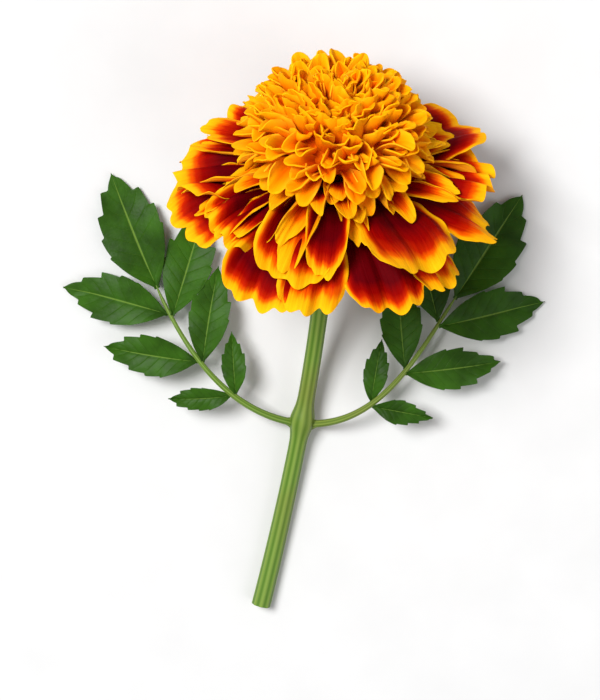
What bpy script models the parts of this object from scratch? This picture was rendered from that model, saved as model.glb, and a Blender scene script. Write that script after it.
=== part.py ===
"""A crested marigold bloom picked with its stalk and one pair of leaves, lying on a table.

The florets are set out in the bloom's own frame: its origin is the middle of the receptacle, +Z is
the bloom's axis and azimuths run round that axis. Everything else is set out on the table, where +Z
is up, +Y is the way the bloom faces and the table's top is z = 0. Lengths are in metres.
"""

import math
import random
from dataclasses import dataclass

import bmesh
import bpy
import numpy as np
from mathutils import Matrix, Vector

MM = 0.001
DEGREE = math.pi / 180
GOLDEN_ANGLE = math.pi * (3 - math.sqrt(5))
GAP = 0.3 * MM  # left between neighbouring pieces
SHORTEST_EDGE = 0.01 * MM  # kept where pieces are fused

# Where the bloom lies: its receptacle's place over the table, and how far its axis rises.
HEAD = Vector((3.5, 33.1, 25.6)) * MM
AXIS_RISE = 30 * DEGREE

# Receptacle that carries the rays, as (height, radius), and the domed core that carries the crest.
CONE_HEIGHT = 8.4 * MM
CONE_PROFILE = (
    (0.0, 6.4 * MM),
    (1.7 * MM, 8.8 * MM),
    (3.0 * MM, 10.0 * MM),
    (5.0 * MM, 9.8 * MM),
    (7.0 * MM, 8.2 * MM),
    (CONE_HEIGHT, 4.6 * MM),
)
CONE_SIDES = 18
CREST_NECK_RADIUS = 3.4 * MM
CREST_UNDERSIDE_RADIUS = 9.8 * MM
CREST_RADIUS, CREST_RISE = 11.8 * MM, 8.5 * MM
CREST_LEVEL = 12.0 * MM  # height of the core's widest ring
CREST_SIDES = 16
DIVIDE_LEVEL = 10.0 * MM  # rays stay under this level and the crest's florets stay over it
DIVIDE_SOFTNESS = 1.5 * MM

# Rays: azimuth in degrees, length and half width in mm, slope of the tip in degrees.
LOWER_RAYS = (
    (-162, 29.5, 9.0, -40),
    (-116, 32.0, 8.6, -50),
    (-93, 30.5, 7.0, -50),
    (-66, 31.0, 8.4, -50),
    (-40, 30.0, 6.8, -52),
    (-8, 31.0, 7.5, -42),
    (28, 29.5, 9.5, -38),
    (67.5, 30.0, 9.5, -38),
    (112.5, 30.0, 9.5, -40),
    (154, 29.0, 9.5, -48),
)
# The same, then the depth in mm and the number of the folds across the blade.
UPPER_RAYS = (
    (-172, 28.0, 9.5, -24, 1.2, 4),
    (-136, 26.0, 8.0, -34, 1.3, 4),
    (-108, 27.5, 8.2, -46, 1.3, 2),
    (-47, 28.5, 12.4, -29, 0.5, 2),
    (0, 28.5, 8.5, -16, 1.2, 4),
    (34, 28.0, 11.0, -8, 0.8, 2),
    (90, 26.0, 10.5, -22, 0.8, 3),
    (144, 25.5, 10.5, -32, 0.9, 3),
)
# Azimuth, length, half width, slopes of root and tip, roll, cupping.
INNER_RAYS = (
    (-169, 27.0, 3.4, 20, -20, 12, 0.4),
    (-154, 24.5, 3.6, 20, -30, 14, 0.25),
    (-147, 26.0, 3.4, 22, -34, 10, 0.25),
    (-140, 26.0, 3.4, 24, -36, 8, 0.25),
    (-132, 25.0, 3.2, 26, -36, 10, 0.3),
    (-112, 23.5, 2.6, 38, -32, -35, 0.9),
    (-103, 27.0, 3.2, 28, -44, -10, 0.5),
    (-90, 26.5, 4.4, 30, -48, 8, 0.7),
    (-74, 20.0, 2.8, 38, -38, 20, 0.8),
    (-22, 23.0, 3.6, 36, -20, 16, 0.5),
    (-7, 24.5, 3.2, 32, -22, -12, 0.5),
    (4, 26.0, 3.6, 30, -18, -20, 0.5),
    (13, 24.5, 3.6, 32, -12, 10, 0.4),
    (28, 22.0, 5.0, 38, -4, 12, 0.35),
    (50, 23.0, 5.0, 36, -6, -10, 0.3),
    (72, 22.0, 5.0, 36, -8, 10, 0.3),
    (95, 23.0, 5.0, 36, -6, -14, 0.3),
    (118, 22.0, 4.6, 38, -4, 14, 0.3),
    (141, 24.0, 3.8, 44, 30, -14, 0.6),
    (163, 24.0, 4.6, 34, -6, 10, 0.3),
    (180, 25.0, 3.4, 26, -14, 22, 0.4),
)
RAY_ROOT_RADIUS = 4.8 * MM
RAY_THICKNESS = 0.7 * MM
PRESSED_HEIGHT = 0.1 * MM  # of the middle of a ray's blade, where the ray lies on the table
PRESS_SOFTNESS = 0.35 * MM
SPOON_RAY_COUNT = 7
CREST_FLORET_COUNT = 84
CREST_FLORET_THICKNESS = 1.0 * MM

# Involucre: the green cup under the receptacle, as (height, radius) from its neck to its rim.
INVOLUCRE_PROFILE = (
    (-20.0 * MM, 2.2 * MM),
    (-18.0 * MM, 2.9 * MM),
    (-15.0 * MM, 4.8 * MM),
    (-11.5 * MM, 6.2 * MM),
    (-8.0 * MM, 6.9 * MM),
    (-5.0 * MM, 7.2 * MM),
    (-3.4 * MM, 7.2 * MM),
)
INVOLUCRE_NECK = INVOLUCRE_PROFILE[0][0]
INVOLUCRE_BRACTS = 9
INVOLUCRE_SIDES = 36
INVOLUCRE_RIB, INVOLUCRE_RIB_RUN = 0.22 * MM, 6 * MM  # relief of the ribs, and the height they grow over
BRACT_TIP_RADIUS, BRACT_LIP_RADIUS = 7.0 * MM, 5.8 * MM
BRACT_TOOTH = 2.8 * MM

# Stalk: a ribbed tube that droops from the involucre to the table and ends in a cut.
STALK_REACH = 76 * MM
STALK_DRIFT = -7 * MM
STALK_SUNK = 0.15 * MM  # cut flat where it lies on the table
STALK_LEAVES, STALK_ARRIVES = 1.1, Vector((-0.16, -1, 0.02))  # how it heads, as shares of its reach
STALK_RADIUS_TOP, STALK_RADIUS, STALK_RADIUS_CUT = 2.1 * MM, 1.65 * MM, 1.9 * MM
STALK_SIDES, STALK_RINGS = 10, 22
STALK_RIB = 0.08 * MM
NODE_SHARE, NODE_SWELL, NODE_WIDTH = 0.47, 0.8 * MM, 0.035

# Leaves: one opposite pair, each a rib with pairs of toothed leaflets and one at its tip.
LEAF_LENGTH = 42 * MM
LEAF_SPREAD, LEAF_LOPSIDED = 42 * DEGREE, 3 * DEGREE
LEAF_LEAVES, LEAF_ARRIVES = Vector((1, 0.25, 0.5)), Vector((0.45, 0.8, -0.2))  # shares of its length
LEAF_STATIONS = 9
LEAF_SETBACK = 0.35 * MM
LEAF_TIP_HEIGHT = 3.0 * MM
LEAF_THICKNESS = 0.65 * MM
LEAF_CLEARANCE = 0.7 * MM  # middle of a leaflet's blade over the table, where it is lowest
RIB_RADIUS, RIB_FOOT, RIB_TIP = 0.75 * MM, 1.25, 0.65  # its ends as shares of the radius
# Leaflets: place along the rib, length and half width in mm.
LEAFLET_PAIRS = ((0.3, 13.0, 2.4), (0.54, 20.0, 4.0), (0.82, 23.0, 4.8))
LEAFLET_AT_TIP = (0.97, 26.0, 6.2)
LEAFLET_OUTLINE = (0.16, 0.5, 0.82, 1.0, 1.0, 0.86, 0.62, 0.36)  # half width at equal steps to the tip
LEAFLET_POINT = 0.25 * MM  # half width of the very tip
LEAFLET_TEETH_FROM = 3
TOOTH_OUT, TOOTH_FORWARD = 0.12, 0.05  # shares of the half width and of the length
LEAFLET_ANGLE = 46 * DEGREE
LEAFLET_FOLD = 0.25  # rise of its sides as a share of the half width
LEAFLET_STAGGER = 0.35 * MM
LEAFLET_DROOP = 2.0 * MM


@dataclass
class Floret:
    """The blade of one floret in the bloom's frame: angles in radians and lengths in metres."""

    azimuth: float  # of its root round the axis
    root_radius: float
    root_height: float
    length: float
    half_width: float
    root_slope: float  # of its middle line over the receptacle's plane
    tip_slope: float
    bend: float = 1.0  # over 1 the slope changes late, under 1 early
    turn: float = 0.0  # of its heading away from the axis
    roll: float = 0.0  # about its middle line
    twist: float = 0.0  # roll added from root to tip
    cup: float = 0.0  # rise of its sides as a share of the half width
    fold: float = 0.0  # depth of the folds along it
    folds: float = 3.0
    wave: float = 0.0  # height of the waves in its sides
    waves: float = 1.3
    crumple: float = 0.0  # height of its uneven bulges
    phase: float = 0.0
    rounding: float = 0.36  # share of its length taken by its rounded end
    notch: float = 0.05  # depth of the hollows between the lobes of its tip
    claw: float = 0.25  # width of its root as a share of the half width
    widest: float = 0.7
    sweep: float = 0.0  # sideways reach of its tip
    curl: float = 0.0  # slope added at its tip


def soft_above(value, limit, softness):
    """value, but bending smoothly to stay above limit."""
    over = value - limit
    return limit + (over + np.sqrt(over**2 + softness**2)) / 2


def smooth_step(value, low, high):
    share = np.clip((value - low) / (high - low), 0, 1)
    return share * share * (3 - 2 * share)


def floret_grid(floret, along, across):
    """Points of the middle surface of a floret, for shares along it and from side to side (-1 to 1)."""
    s, v = np.meshgrid(along, across, indexing="ij")
    lobe = np.exp(-(((v - 0.35 * math.sin(floret.phase)) / 0.22) ** 2))
    lobe = lobe + 0.35 * np.exp(-(((v + 0.55 * math.cos(floret.phase)) / 0.15) ** 2))
    corner = floret.rounding * (1 - np.sqrt(1 - 0.98 * v**2))
    s = s * (1 - corner - floret.notch * lobe * smooth_step(s, 0.4, 1))
    line = np.linspace(0, 1, 65)
    slope = floret.root_slope + (floret.tip_slope - floret.root_slope) * line**floret.bend
    slope = slope + floret.curl * smooth_step(line, 0.7, 1)
    middle = (slope[1:] + slope[:-1]) / 2
    step = floret.length * (line[1] - line[0])
    reach = np.interp(s, line, np.concatenate([[0], np.cumsum(np.cos(middle))]) * step)
    rise = np.interp(s, line, np.concatenate([[0], np.cumsum(np.sin(middle))]) * step)
    slope = np.interp(s, line, slope)
    width = np.sin(math.pi / 2 * np.clip(s / floret.widest, 0, 1)) ** 1.8
    side = floret.half_width * (floret.claw + (1 - floret.claw) * width) * v
    ramp = smooth_step(s, 0.08, 0.8)
    bump = floret.cup * np.abs(side * v)
    bump = bump + ramp * floret.fold * np.cos(math.pi * floret.folds * v + floret.phase)
    swing = 2 * math.pi * floret.waves * s + floret.phase + 1.9 * np.sign(v)
    bump = bump + ramp * floret.wave * np.abs(v) ** 1.6 * np.sin(swing)
    bulge = np.sin(4.1 * s + 2.3 * v + floret.phase) * np.sin(5.2 * v - 2.9 * s + 2 * floret.phase)
    bulge = bulge + 0.5 * np.sin(9.7 * s - 4.4 * v + 3 * floret.phase) * np.sin(7.9 * v + 5.0 * s)
    bump = bump + ramp * floret.crumple * bulge
    roll = floret.roll + floret.twist * s
    lift = side * np.sin(roll) + bump * np.cos(roll)
    outward = reach - np.sin(slope) * lift
    upward = floret.root_height + rise + np.cos(slope) * lift
    sideways = side * np.cos(roll) - bump * np.sin(roll) + floret.sweep * s**2
    heading = floret.azimuth + floret.turn
    ahead, aside = np.cos(heading), np.sin(heading)
    x = floret.root_radius * math.cos(floret.azimuth) + outward * ahead - sideways * aside
    y = floret.root_radius * math.sin(floret.azimuth) + outward * aside + sideways * ahead
    return np.stack([x, y, upward], axis=-1)


def lower_rays(draw):
    """The lowest whorl: broad rays that droop."""
    for azimuth, length, half_width, tip_slope in LOWER_RAYS:
        yield Floret(
            azimuth=azimuth * DEGREE,
            root_radius=RAY_ROOT_RADIUS,
            root_height=0.9 * MM,
            length=length * MM,
            half_width=half_width * MM,
            root_slope=8 * DEGREE,
            tip_slope=(tip_slope + draw(3)) * DEGREE,
            bend=1.3,
            roll=(-7 + draw(4)) * DEGREE,
            twist=draw(10) * DEGREE,
            cup=-0.05,
            fold=0.6 * MM,
            folds=2.5 + draw(0.5),
            wave=1.3 * MM,
            waves=1.2 + draw(0.3),
            crumple=0.7 * MM,
            phase=draw(math.pi),
            rounding=0.26,
            notch=0.08,
            widest=0.85,
            sweep=draw(2) * MM,
            curl=draw(14) * DEGREE,
        )


def upper_rays(draw):
    """The second whorl: broad rays that spread, some of them folded along their length."""
    for azimuth, length, half_width, tip_slope, fold, folds in UPPER_RAYS:
        yield Floret(
            azimuth=azimuth * DEGREE,
            root_radius=RAY_ROOT_RADIUS,
            root_height=1.6 * MM,
            length=length * MM,
            half_width=half_width * MM,
            root_slope=22 * DEGREE,
            tip_slope=(tip_slope + draw(3)) * DEGREE,
            bend=1.1,
            roll=(-9 + draw(5)) * DEGREE,
            twist=draw(14) * DEGREE,
            cup=0.05,
            fold=fold * MM,
            folds=folds,
            wave=1.4 * MM,
            waves=1.4 + draw(0.3),
            crumple=0.8 * MM,
            phase=draw(math.pi),
            rounding=0.3,
            notch=0.05,
            widest=0.78,
            sweep=draw(2) * MM,
            curl=draw(14) * DEGREE,
        )


def inner_rays(draw):
    """The third whorl: narrower rays, fanned, folded or half upright."""
    for azimuth, length, half_width, root_slope, tip_slope, roll, cup in INNER_RAYS:
        yield Floret(
            azimuth=(azimuth + draw(2)) * DEGREE,
            root_radius=RAY_ROOT_RADIUS,
            root_height=2.2 * MM,
            length=length * MM,
            half_width=half_width * MM,
            root_slope=root_slope * DEGREE,
            tip_slope=tip_slope * DEGREE,
            turn=draw(5) * DEGREE,
            roll=roll * DEGREE,
            twist=draw(24) * DEGREE,
            cup=cup,
            fold=0.3 * MM,
            folds=2.0,
            wave=0.8 * MM,
            crumple=0.4 * MM,
            phase=draw(math.pi),
            rounding=0.45,
            notch=0.06,
            claw=0.35,
            widest=0.62,
            sweep=draw(2) * MM,
            curl=draw(20) * DEGREE,
        )


def spoon_rays(draw):
    """Small hollow rays between the broad ones and the crest."""
    for index in range(SPOON_RAY_COUNT):
        yield Floret(
            azimuth=(index * 360 / SPOON_RAY_COUNT + 5 + draw(6)) * DEGREE,
            root_radius=RAY_ROOT_RADIUS,
            root_height=2.6 * MM,
            length=(19.5 + draw(2.5)) * MM,
            half_width=(2.9 + draw(0.7)) * MM,
            root_slope=44 * DEGREE,
            tip_slope=(-6 + draw(18)) * DEGREE,
            bend=0.8,
            turn=draw(14) * DEGREE,
            roll=draw(40) * DEGREE,
            twist=draw(30) * DEGREE,
            cup=0.6,
            rounding=0.6,
            claw=0.4,
            widest=0.55,
            sweep=draw(3) * MM,
            curl=draw(20) * DEGREE,
        )


def crest_florets(draw):
    """The florets of the crest, spread evenly over the core: upright, but for the lowest, which spread."""
    lowest_polar = 96 * DEGREE
    for index in range(CREST_FLORET_COUNT):
        share_of_cap = (index + 0.5) / CREST_FLORET_COUNT
        polar = math.acos(1 - share_of_cap * (1 - math.cos(lowest_polar)))
        share = polar / lowest_polar
        spread = 0.38 * polar + 42 * DEGREE * smooth_step(share, 0.64, 1.0)
        slope = 90 * DEGREE - spread + draw(12) * DEGREE
        droop = (26 + draw(20)) * DEGREE * smooth_step(share, 0.5, 0.95) + draw(18) * DEGREE
        yield Floret(
            azimuth=index * GOLDEN_ANGLE + draw(0.2),
            root_radius=max(0.2 * MM, CREST_RADIUS * math.sin(polar) - 1.4 * MM),
            root_height=CREST_LEVEL + CREST_RISE * math.cos(polar) - 0.8 * MM,
            length=(6.2 + 3.4 * share + draw(1.3)) * MM,
            half_width=(2.5 + 0.3 * share + draw(0.3)) * MM,
            root_slope=slope,
            tip_slope=slope - droop,
            turn=draw(26 - 12 * share) * DEGREE,
            roll=draw(24) * DEGREE,
            twist=draw(20) * DEGREE,
            cup=0.75 + draw(0.25),
            rounding=0.12,
            notch=0.0,
            claw=0.5,
            widest=0.55,
            sweep=draw(2) * MM,
            curl=draw(30) * DEGREE,
        )


def surface_normals(grid):
    """Unit normals of a grid of points."""
    normals = np.cross(np.gradient(grid, axis=0), np.gradient(grid, axis=1))
    return normals / np.maximum(np.linalg.norm(normals, axis=-1, keepdims=True), 1e-12)


def blade(grid, thickness):
    """A closed blade of one thickness round a grid of points, split alike on both faces."""
    rows, columns = grid.shape[:2]
    offset = surface_normals(grid) * thickness / 2
    points = np.concatenate([(grid + offset).reshape(-1, 3), (grid - offset).reshape(-1, 3)])
    index = np.arange(rows * columns).reshape(rows, columns)
    under = rows * columns
    faces = []
    for row in range(rows - 1):
        for column in range(columns - 1):
            a, b = index[row, column], index[row + 1, column]
            c, d = index[row + 1, column + 1], index[row, column + 1]
            for triangle in ((a, b, c), (a, c, d)):
                faces.append(triangle)
                faces.append(tuple(corner + under for corner in reversed(triangle)))
    rim = [*index[:, 0], *index[-1, 1:], *index[-2::-1, -1], *index[0, -2:0:-1]]
    for here, there in zip(rim, rim[1:] + rim[:1]):
        faces.append((here, here + under, there + under))
        faces.append((here, there + under, there))
    return points, faces


def keeled_spoon(grid, thickness):
    """A closed spoon from a grid of three columns: rhombic across, and pointed at its tip."""
    offset = surface_normals(grid)[:, 1] * thickness / 2
    stations = len(grid) - 1
    corners = []
    for k in range(stations):
        corners += [grid[k, 0], grid[k, 1] + offset[k], grid[k, 2], grid[k, 1] - offset[k]]
    points = np.array(corners + [grid[-1, 1]])
    faces = [(0, 1, 2), (0, 2, 3)]
    for station in range(stations - 1):
        for side in range(4):
            a, b = station * 4 + side, station * 4 + (side + 1) % 4
            faces += [(a, a + 4, b + 4), (a, b + 4, b)]
    last = (stations - 1) * 4
    faces += [(last + side, len(points) - 1, last + (side + 1) % 4) for side in range(4)]
    return points, faces


def closed_object(name, points, faces):
    """An object whose faces point out, from a closed surface's points and faces."""
    mesh = bpy.data.meshes.new(name)
    mesh.from_pydata([tuple(point) for point in points], [], [tuple(map(int, face)) for face in faces])
    work = bmesh.new()
    work.from_mesh(mesh)
    bmesh.ops.recalc_face_normals(work, faces=work.faces)
    if work.calc_volume(signed=True) < 0:
        bmesh.ops.reverse_faces(work, faces=work.faces)
    work.to_mesh(mesh)
    work.free()
    part = bpy.data.objects.new(name, mesh)
    bpy.context.scene.collection.objects.link(part)
    return part


def lathe(name, rings, top_height, bottom_height):
    """A closed body from rings of equal length, capped by a point on its axis at either end."""
    sides = len(rings[0])
    points = [point for ring in rings for point in ring]
    points += [(0.0, 0.0, bottom_height), (0.0, 0.0, top_height)]
    bottom, top = len(points) - 2, len(points) - 1
    faces = []
    for level in range(len(rings) - 1):
        for side in range(sides):
            a, b = level * sides + side, level * sides + (side + 1) % sides
            faces += [(a, b, b + sides), (a, b + sides, a + sides)]
    last = (len(rings) - 1) * sides
    for side in range(sides):
        following = (side + 1) % sides
        faces += [(following, side, bottom), (last + side, last + following, top)]
    return closed_object(name, points, faces)


def turned(name, profile, sides):
    """A turned body from (height, radius) pairs, lowest first."""
    angles = [2 * math.pi * side / sides for side in range(sides)]
    rings = []
    for height, radius in profile:
        rings.append([(radius * math.cos(angle), radius * math.sin(angle), height) for angle in angles])
    return lathe(name, rings, profile[-1][0], profile[0][0])


def bloom_frame():
    """The bloom's frame on the table: tipped forwards from upright until its axis rises by AXIS_RISE."""
    return Matrix.Translation(HEAD) @ Matrix.Rotation(AXIS_RISE - 90 * DEGREE, 4, "X")


def to_table(points):
    """Points of the bloom's frame, on the table."""
    frame = np.array(bloom_frame())
    return np.asarray(points) @ frame[:3, :3].T + frame[:3, 3]


def bent_over_table(points, height):
    """Points on the table, with what would go below a height bent flat along it."""
    result = np.array(points)
    result[..., 2] = soft_above(result[..., 2], height, PRESS_SOFTNESS)
    return result


def under_divide(grid):
    """A ray's grid, kept under the crest."""
    result = np.array(grid)
    limit = -(DIVIDE_LEVEL - GAP / 2 - RAY_THICKNESS / 2)
    result[..., 2] = -soft_above(-result[..., 2], limit, DIVIDE_SOFTNESS)
    return result


def over_divide(grid):
    """A crest floret's grid, kept over the rays."""
    result = np.array(grid)
    limit = DIVIDE_LEVEL + GAP / 2 + CREST_FLORET_THICKNESS / 2
    result[..., 2] = soft_above(result[..., 2], limit, DIVIDE_SOFTNESS)
    return result


def boolean(base, operation, operand, solver):
    """Apply a Boolean with an object, or with a collection of them, to base."""
    modifier = base.modifiers.new("boolean", "BOOLEAN")
    modifier.operation = operation
    modifier.solver = solver
    if isinstance(operand, bpy.types.Collection):
        modifier.operand_type = "COLLECTION"
        modifier.collection = operand
    else:
        modifier.object = operand
    evaluated = base.evaluated_get(bpy.context.evaluated_depsgraph_get())
    mesh = bpy.data.meshes.new_from_object(evaluated)
    base.modifiers.remove(modifier)
    base.data = mesh


def merge_short_edges(work):
    """Merge the ends of every edge shorter than SHORTEST_EDGE, where that leaves the surface closed."""
    for edge in [edge for edge in work.edges if edge.calc_length() < SHORTEST_EDGE]:
        if not edge.is_valid:
            continue
        first, second = edge.verts
        round_first = {other.other_vert(first) for other in first.link_edges}
        round_second = {other.other_vert(second) for other in second.link_edges}
        if len(round_first & round_second) == 2:
            bmesh.ops.weld_verts(work, targetmap={second: first})


def outer_shell(part):
    """Keep the largest outer surface of a fused body, without sealed hollows and loose scraps."""
    work = bmesh.new()
    work.from_mesh(part.data)
    bmesh.ops.dissolve_limit(work, angle_limit=0.2 * DEGREE, verts=work.verts, edges=work.edges)
    bmesh.ops.triangulate(work, faces=work.faces)
    merge_short_edges(work)
    unseen = set(work.faces)
    shells = []
    while unseen:
        stack = [unseen.pop()]
        shell = []
        while stack:
            face = stack.pop()
            shell.append(face)
            for edge in face.edges:
                for neighbour in edge.link_faces:
                    if neighbour in unseen:
                        unseen.remove(neighbour)
                        stack.append(neighbour)
        shells.append(shell)

    def volume(shell):
        return sum(f.verts[0].co.dot(f.verts[1].co.cross(f.verts[2].co)) for f in shell) / 6

    shells.sort(key=volume)
    for shell in shells[:-1]:
        bmesh.ops.delete(work, geom=shell, context="FACES")
    bmesh.ops.delete(work, geom=[v for v in work.verts if not v.link_faces], context="VERTS")
    work.to_mesh(part.data)
    work.free()


def fused(name, pieces, solver="MANIFOLD"):
    """One body from overlapping pieces: the first is joined with a collection of the others."""
    others = bpy.data.collections.new(name + "_pieces")
    bpy.context.scene.collection.children.link(others)
    for piece in pieces[1:]:
        bpy.context.scene.collection.objects.unlink(piece)
        others.objects.link(piece)
    body = pieces[0]
    body.name = name
    boolean(body, "UNION", others, solver)
    for piece in list(others.objects):
        bpy.data.objects.remove(piece, do_unlink=True)
    bpy.data.collections.remove(others)
    outer_shell(body)
    return body


def cut_at_table(part):
    """Cut a body flat at the table's top."""
    size = 0.3
    corners = [(x, y, z) for z in (-0.02, 0.0) for y in (-size, size) for x in (-size, size)]
    faces = [(0, 2, 3, 1), (4, 5, 7, 6), (0, 1, 5, 4), (2, 6, 7, 3), (0, 4, 6, 2), (1, 3, 7, 5)]
    cutter = closed_object("table_cutter", corners, faces)
    boolean(part, "DIFFERENCE", cutter, "MANIFOLD")
    bpy.data.objects.remove(cutter, do_unlink=True)
    outer_shell(part)


def draws(seed):
    """A function that draws a number from -amount to amount, in the same order each time."""
    generator = random.Random(seed)
    return lambda amount: generator.uniform(-amount, amount)


def make_rays():
    """The rays of all four whorls, fused to the receptacle that carries them."""
    cone = turned("cone", CONE_PROFILE, CONE_SIDES)
    for vertex in cone.data.vertices:
        vertex.co = bloom_frame() @ vertex.co
    pieces = [cone]
    draw = draws(10)
    broad = (np.array((0.0, 0.22, 0.4, 0.56, 0.72, 0.86, 1.0)), np.linspace(-1, 1, 5))
    narrow = (np.array((0.0, 0.35, 0.7, 1.0)), np.linspace(-1, 1, 3))
    whorls = ((lower_rays, broad), (upper_rays, broad), (inner_rays, narrow), (spoon_rays, narrow))
    for whorl, (along, across) in whorls:
        for floret in whorl(draw):
            grid = to_table(under_divide(floret_grid(floret, along, across)))
            grid = bent_over_table(grid, PRESSED_HEIGHT)
            pieces.append(closed_object("ray", *blade(grid, RAY_THICKNESS)))
    body = fused("ray_florets", pieces)
    cut_at_table(body)
    return body


def make_crest():
    """The domed crest: its core, and the short hollow florets that cover it."""
    profile = [(CONE_HEIGHT + GAP, CREST_NECK_RADIUS), (DIVIDE_LEVEL, CREST_NECK_RADIUS)]
    profile.append((DIVIDE_LEVEL + GAP, CREST_UNDERSIDE_RADIUS))
    for polar in np.radians((90, 72, 54, 36, 18)):
        profile.append((CREST_LEVEL + CREST_RISE * math.cos(polar), CREST_RADIUS * math.sin(polar)))
    core = turned("core", profile, CREST_SIDES)
    for vertex in core.data.vertices:
        vertex.co = bloom_frame() @ vertex.co
    pieces = [core]
    stations = np.array((0.0, 0.45, 0.85, 1.0))
    for floret in crest_florets(draws(30)):
        grid = to_table(over_divide(floret_grid(floret, stations, np.array((-1.0, 0.0, 1.0)))))
        pieces.append(closed_object("floret", *keeled_spoon(grid, CREST_FLORET_THICKNESS)))
    return fused("crest_florets", pieces)


def make_involucre():
    """The cup of joined bracts: ribbed, with a tooth where each bract ends at the rim."""
    angles = [2 * math.pi * side / INVOLUCRE_SIDES for side in range(INVOLUCRE_SIDES)]
    top = -GAP
    rings = []
    for height, radius in INVOLUCRE_PROFILE:
        relief = INVOLUCRE_RIB * min(1, (height - INVOLUCRE_NECK) / INVOLUCRE_RIB_RUN)
        ring = []
        for angle in angles:
            r = radius + relief * math.cos(INVOLUCRE_BRACTS * angle)
            ring.append((r * math.cos(angle), r * math.sin(angle), height))
        rings.append(ring)
    rim = []
    lip = []
    for angle in angles:
        x, y = math.cos(angle), math.sin(angle)
        hollow = 0.5 - 0.5 * math.cos(INVOLUCRE_BRACTS * angle)
        height = top - 0.1 * MM - BRACT_TOOTH * hollow
        rim.append((BRACT_TIP_RADIUS * x, BRACT_TIP_RADIUS * y, height))
        lip.append((BRACT_LIP_RADIUS * x, BRACT_LIP_RADIUS * y, top))
    cup = lathe("involucre", rings + [rim, lip], top, INVOLUCRE_NECK)
    for vertex in cup.data.vertices:
        vertex.co = bloom_frame() @ vertex.co
    return cup


def curve_points(start, leave, end, arrive, count):
    """Points of the smooth curve that leaves start along one vector and reaches end along another."""
    points = []
    for share in np.linspace(0, 1, count):
        t = float(share)
        point = start * (2 * t**3 - 3 * t**2 + 1) + leave * (t**3 - 2 * t**2 + t)
        points.append(point + end * (3 * t**2 - 2 * t**3) + arrive * (t**3 - t**2))
    return points


def stalk_line():
    """The stalk's middle line from under the involucre to the cut, as a smooth curve of points."""
    frame = bloom_frame()
    start = frame @ Vector((0, 0, INVOLUCRE_NECK - GAP))
    axis = (frame.to_3x3() @ Vector((0, 0, 1))).normalized()
    end = Vector((start.x + STALK_DRIFT, start.y - STALK_REACH, STALK_RADIUS_CUT - STALK_SUNK))
    leave = -axis * STALK_REACH * STALK_LEAVES
    return curve_points(start, leave, end, STALK_ARRIVES * STALK_REACH, STALK_RINGS)


def stalk_radius(share):
    """Radius of the stalk at a share of the way to its cut, with its swellings."""
    radius = STALK_RADIUS + (STALK_RADIUS_TOP - STALK_RADIUS) * math.exp(-((share / 0.1) ** 2))
    radius += (STALK_RADIUS_CUT - STALK_RADIUS) * share**2
    return radius + NODE_SWELL * math.exp(-(((share - NODE_SHARE) / NODE_WIDTH) ** 2))


def tube(name, line, radii, sides, rib=0.0, ribs=0):
    """A closed tube along a line of points, its sides ribbed where rib is given."""
    points = []
    for k, centre in enumerate(line):
        forward = (line[min(k + 1, len(line) - 1)] - line[max(k - 1, 0)]).normalized()
        across = forward.cross(Vector((0, 0, 1))).normalized()
        over = across.cross(forward)
        for side in range(sides):
            angle = 2 * math.pi * side / sides
            r = radii[k] + rib * math.cos(ribs * angle)
            points.append(centre + (across * math.cos(angle) + over * math.sin(angle)) * r)
    faces = []
    for level in range(len(line) - 1):
        for side in range(sides):
            a, b = level * sides + side, level * sides + (side + 1) % sides
            faces += [(a, b, b + sides), (a, b + sides, a + sides)]
    faces.append(tuple(range(sides)))
    faces.append(tuple(range(len(points) - sides, len(points))))
    return closed_object(name, points, faces)


def make_stalk():
    """The stalk, with the swollen joint that the leaves grow from."""
    line = stalk_line()
    radii = [stalk_radius(k / (STALK_RINGS - 1)) for k in range(STALK_RINGS)]
    stalk = tube("peduncle", line, radii, STALK_SIDES, STALK_RIB, STALK_SIDES // 2)
    cut_at_table(stalk)
    return stalk


def leaf_line(side):
    """The middle line of a leaf's rib: out from the stalk's joint, arching, and down to the table."""
    joint = stalk_line()[round(NODE_SHARE * (STALK_RINGS - 1))]
    start = joint + Vector((side * (stalk_radius(NODE_SHARE) + GAP + LEAF_SETBACK), 0, 0))
    spread = LEAF_SPREAD + side * LEAF_LOPSIDED
    end = joint + Vector((side * math.cos(spread), math.sin(spread), 0)) * LEAF_LENGTH
    end.z = LEAF_TIP_HEIGHT
    mirror = Vector((side, 1, 1))
    leave = LEAF_LEAVES * mirror * LEAF_LENGTH
    arrive = LEAF_ARRIVES * mirror * LEAF_LENGTH
    return curve_points(start, leave, end, arrive, LEAF_STATIONS)


def leaflet_grid(root, heading, up, length, half_width, droop):
    """The middle surface of a leaflet: three columns, folded up along its rib, with a few teeth."""
    across = heading.cross(up).normalized()
    rows = []
    steps = len(LEAFLET_OUTLINE)
    for k in range(steps + 1):
        s = k / steps
        width = half_width * LEAFLET_OUTLINE[k] if k < steps else LEAFLET_POINT
        toothed = LEAFLET_TEETH_FROM <= k < steps and k % 2 == 1
        width += TOOTH_OUT * half_width if toothed else 0
        lean = heading * (TOOTH_FORWARD * length if toothed else 0)
        middle = root + heading * (length * s) - up * (droop * s**2)
        edge = across * width
        fold = up * (width * LEAFLET_FOLD)
        rows.append([middle + lean - edge + fold, middle, middle + lean + edge + fold])
    return np.array([[tuple(point) for point in row] for row in rows])


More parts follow.
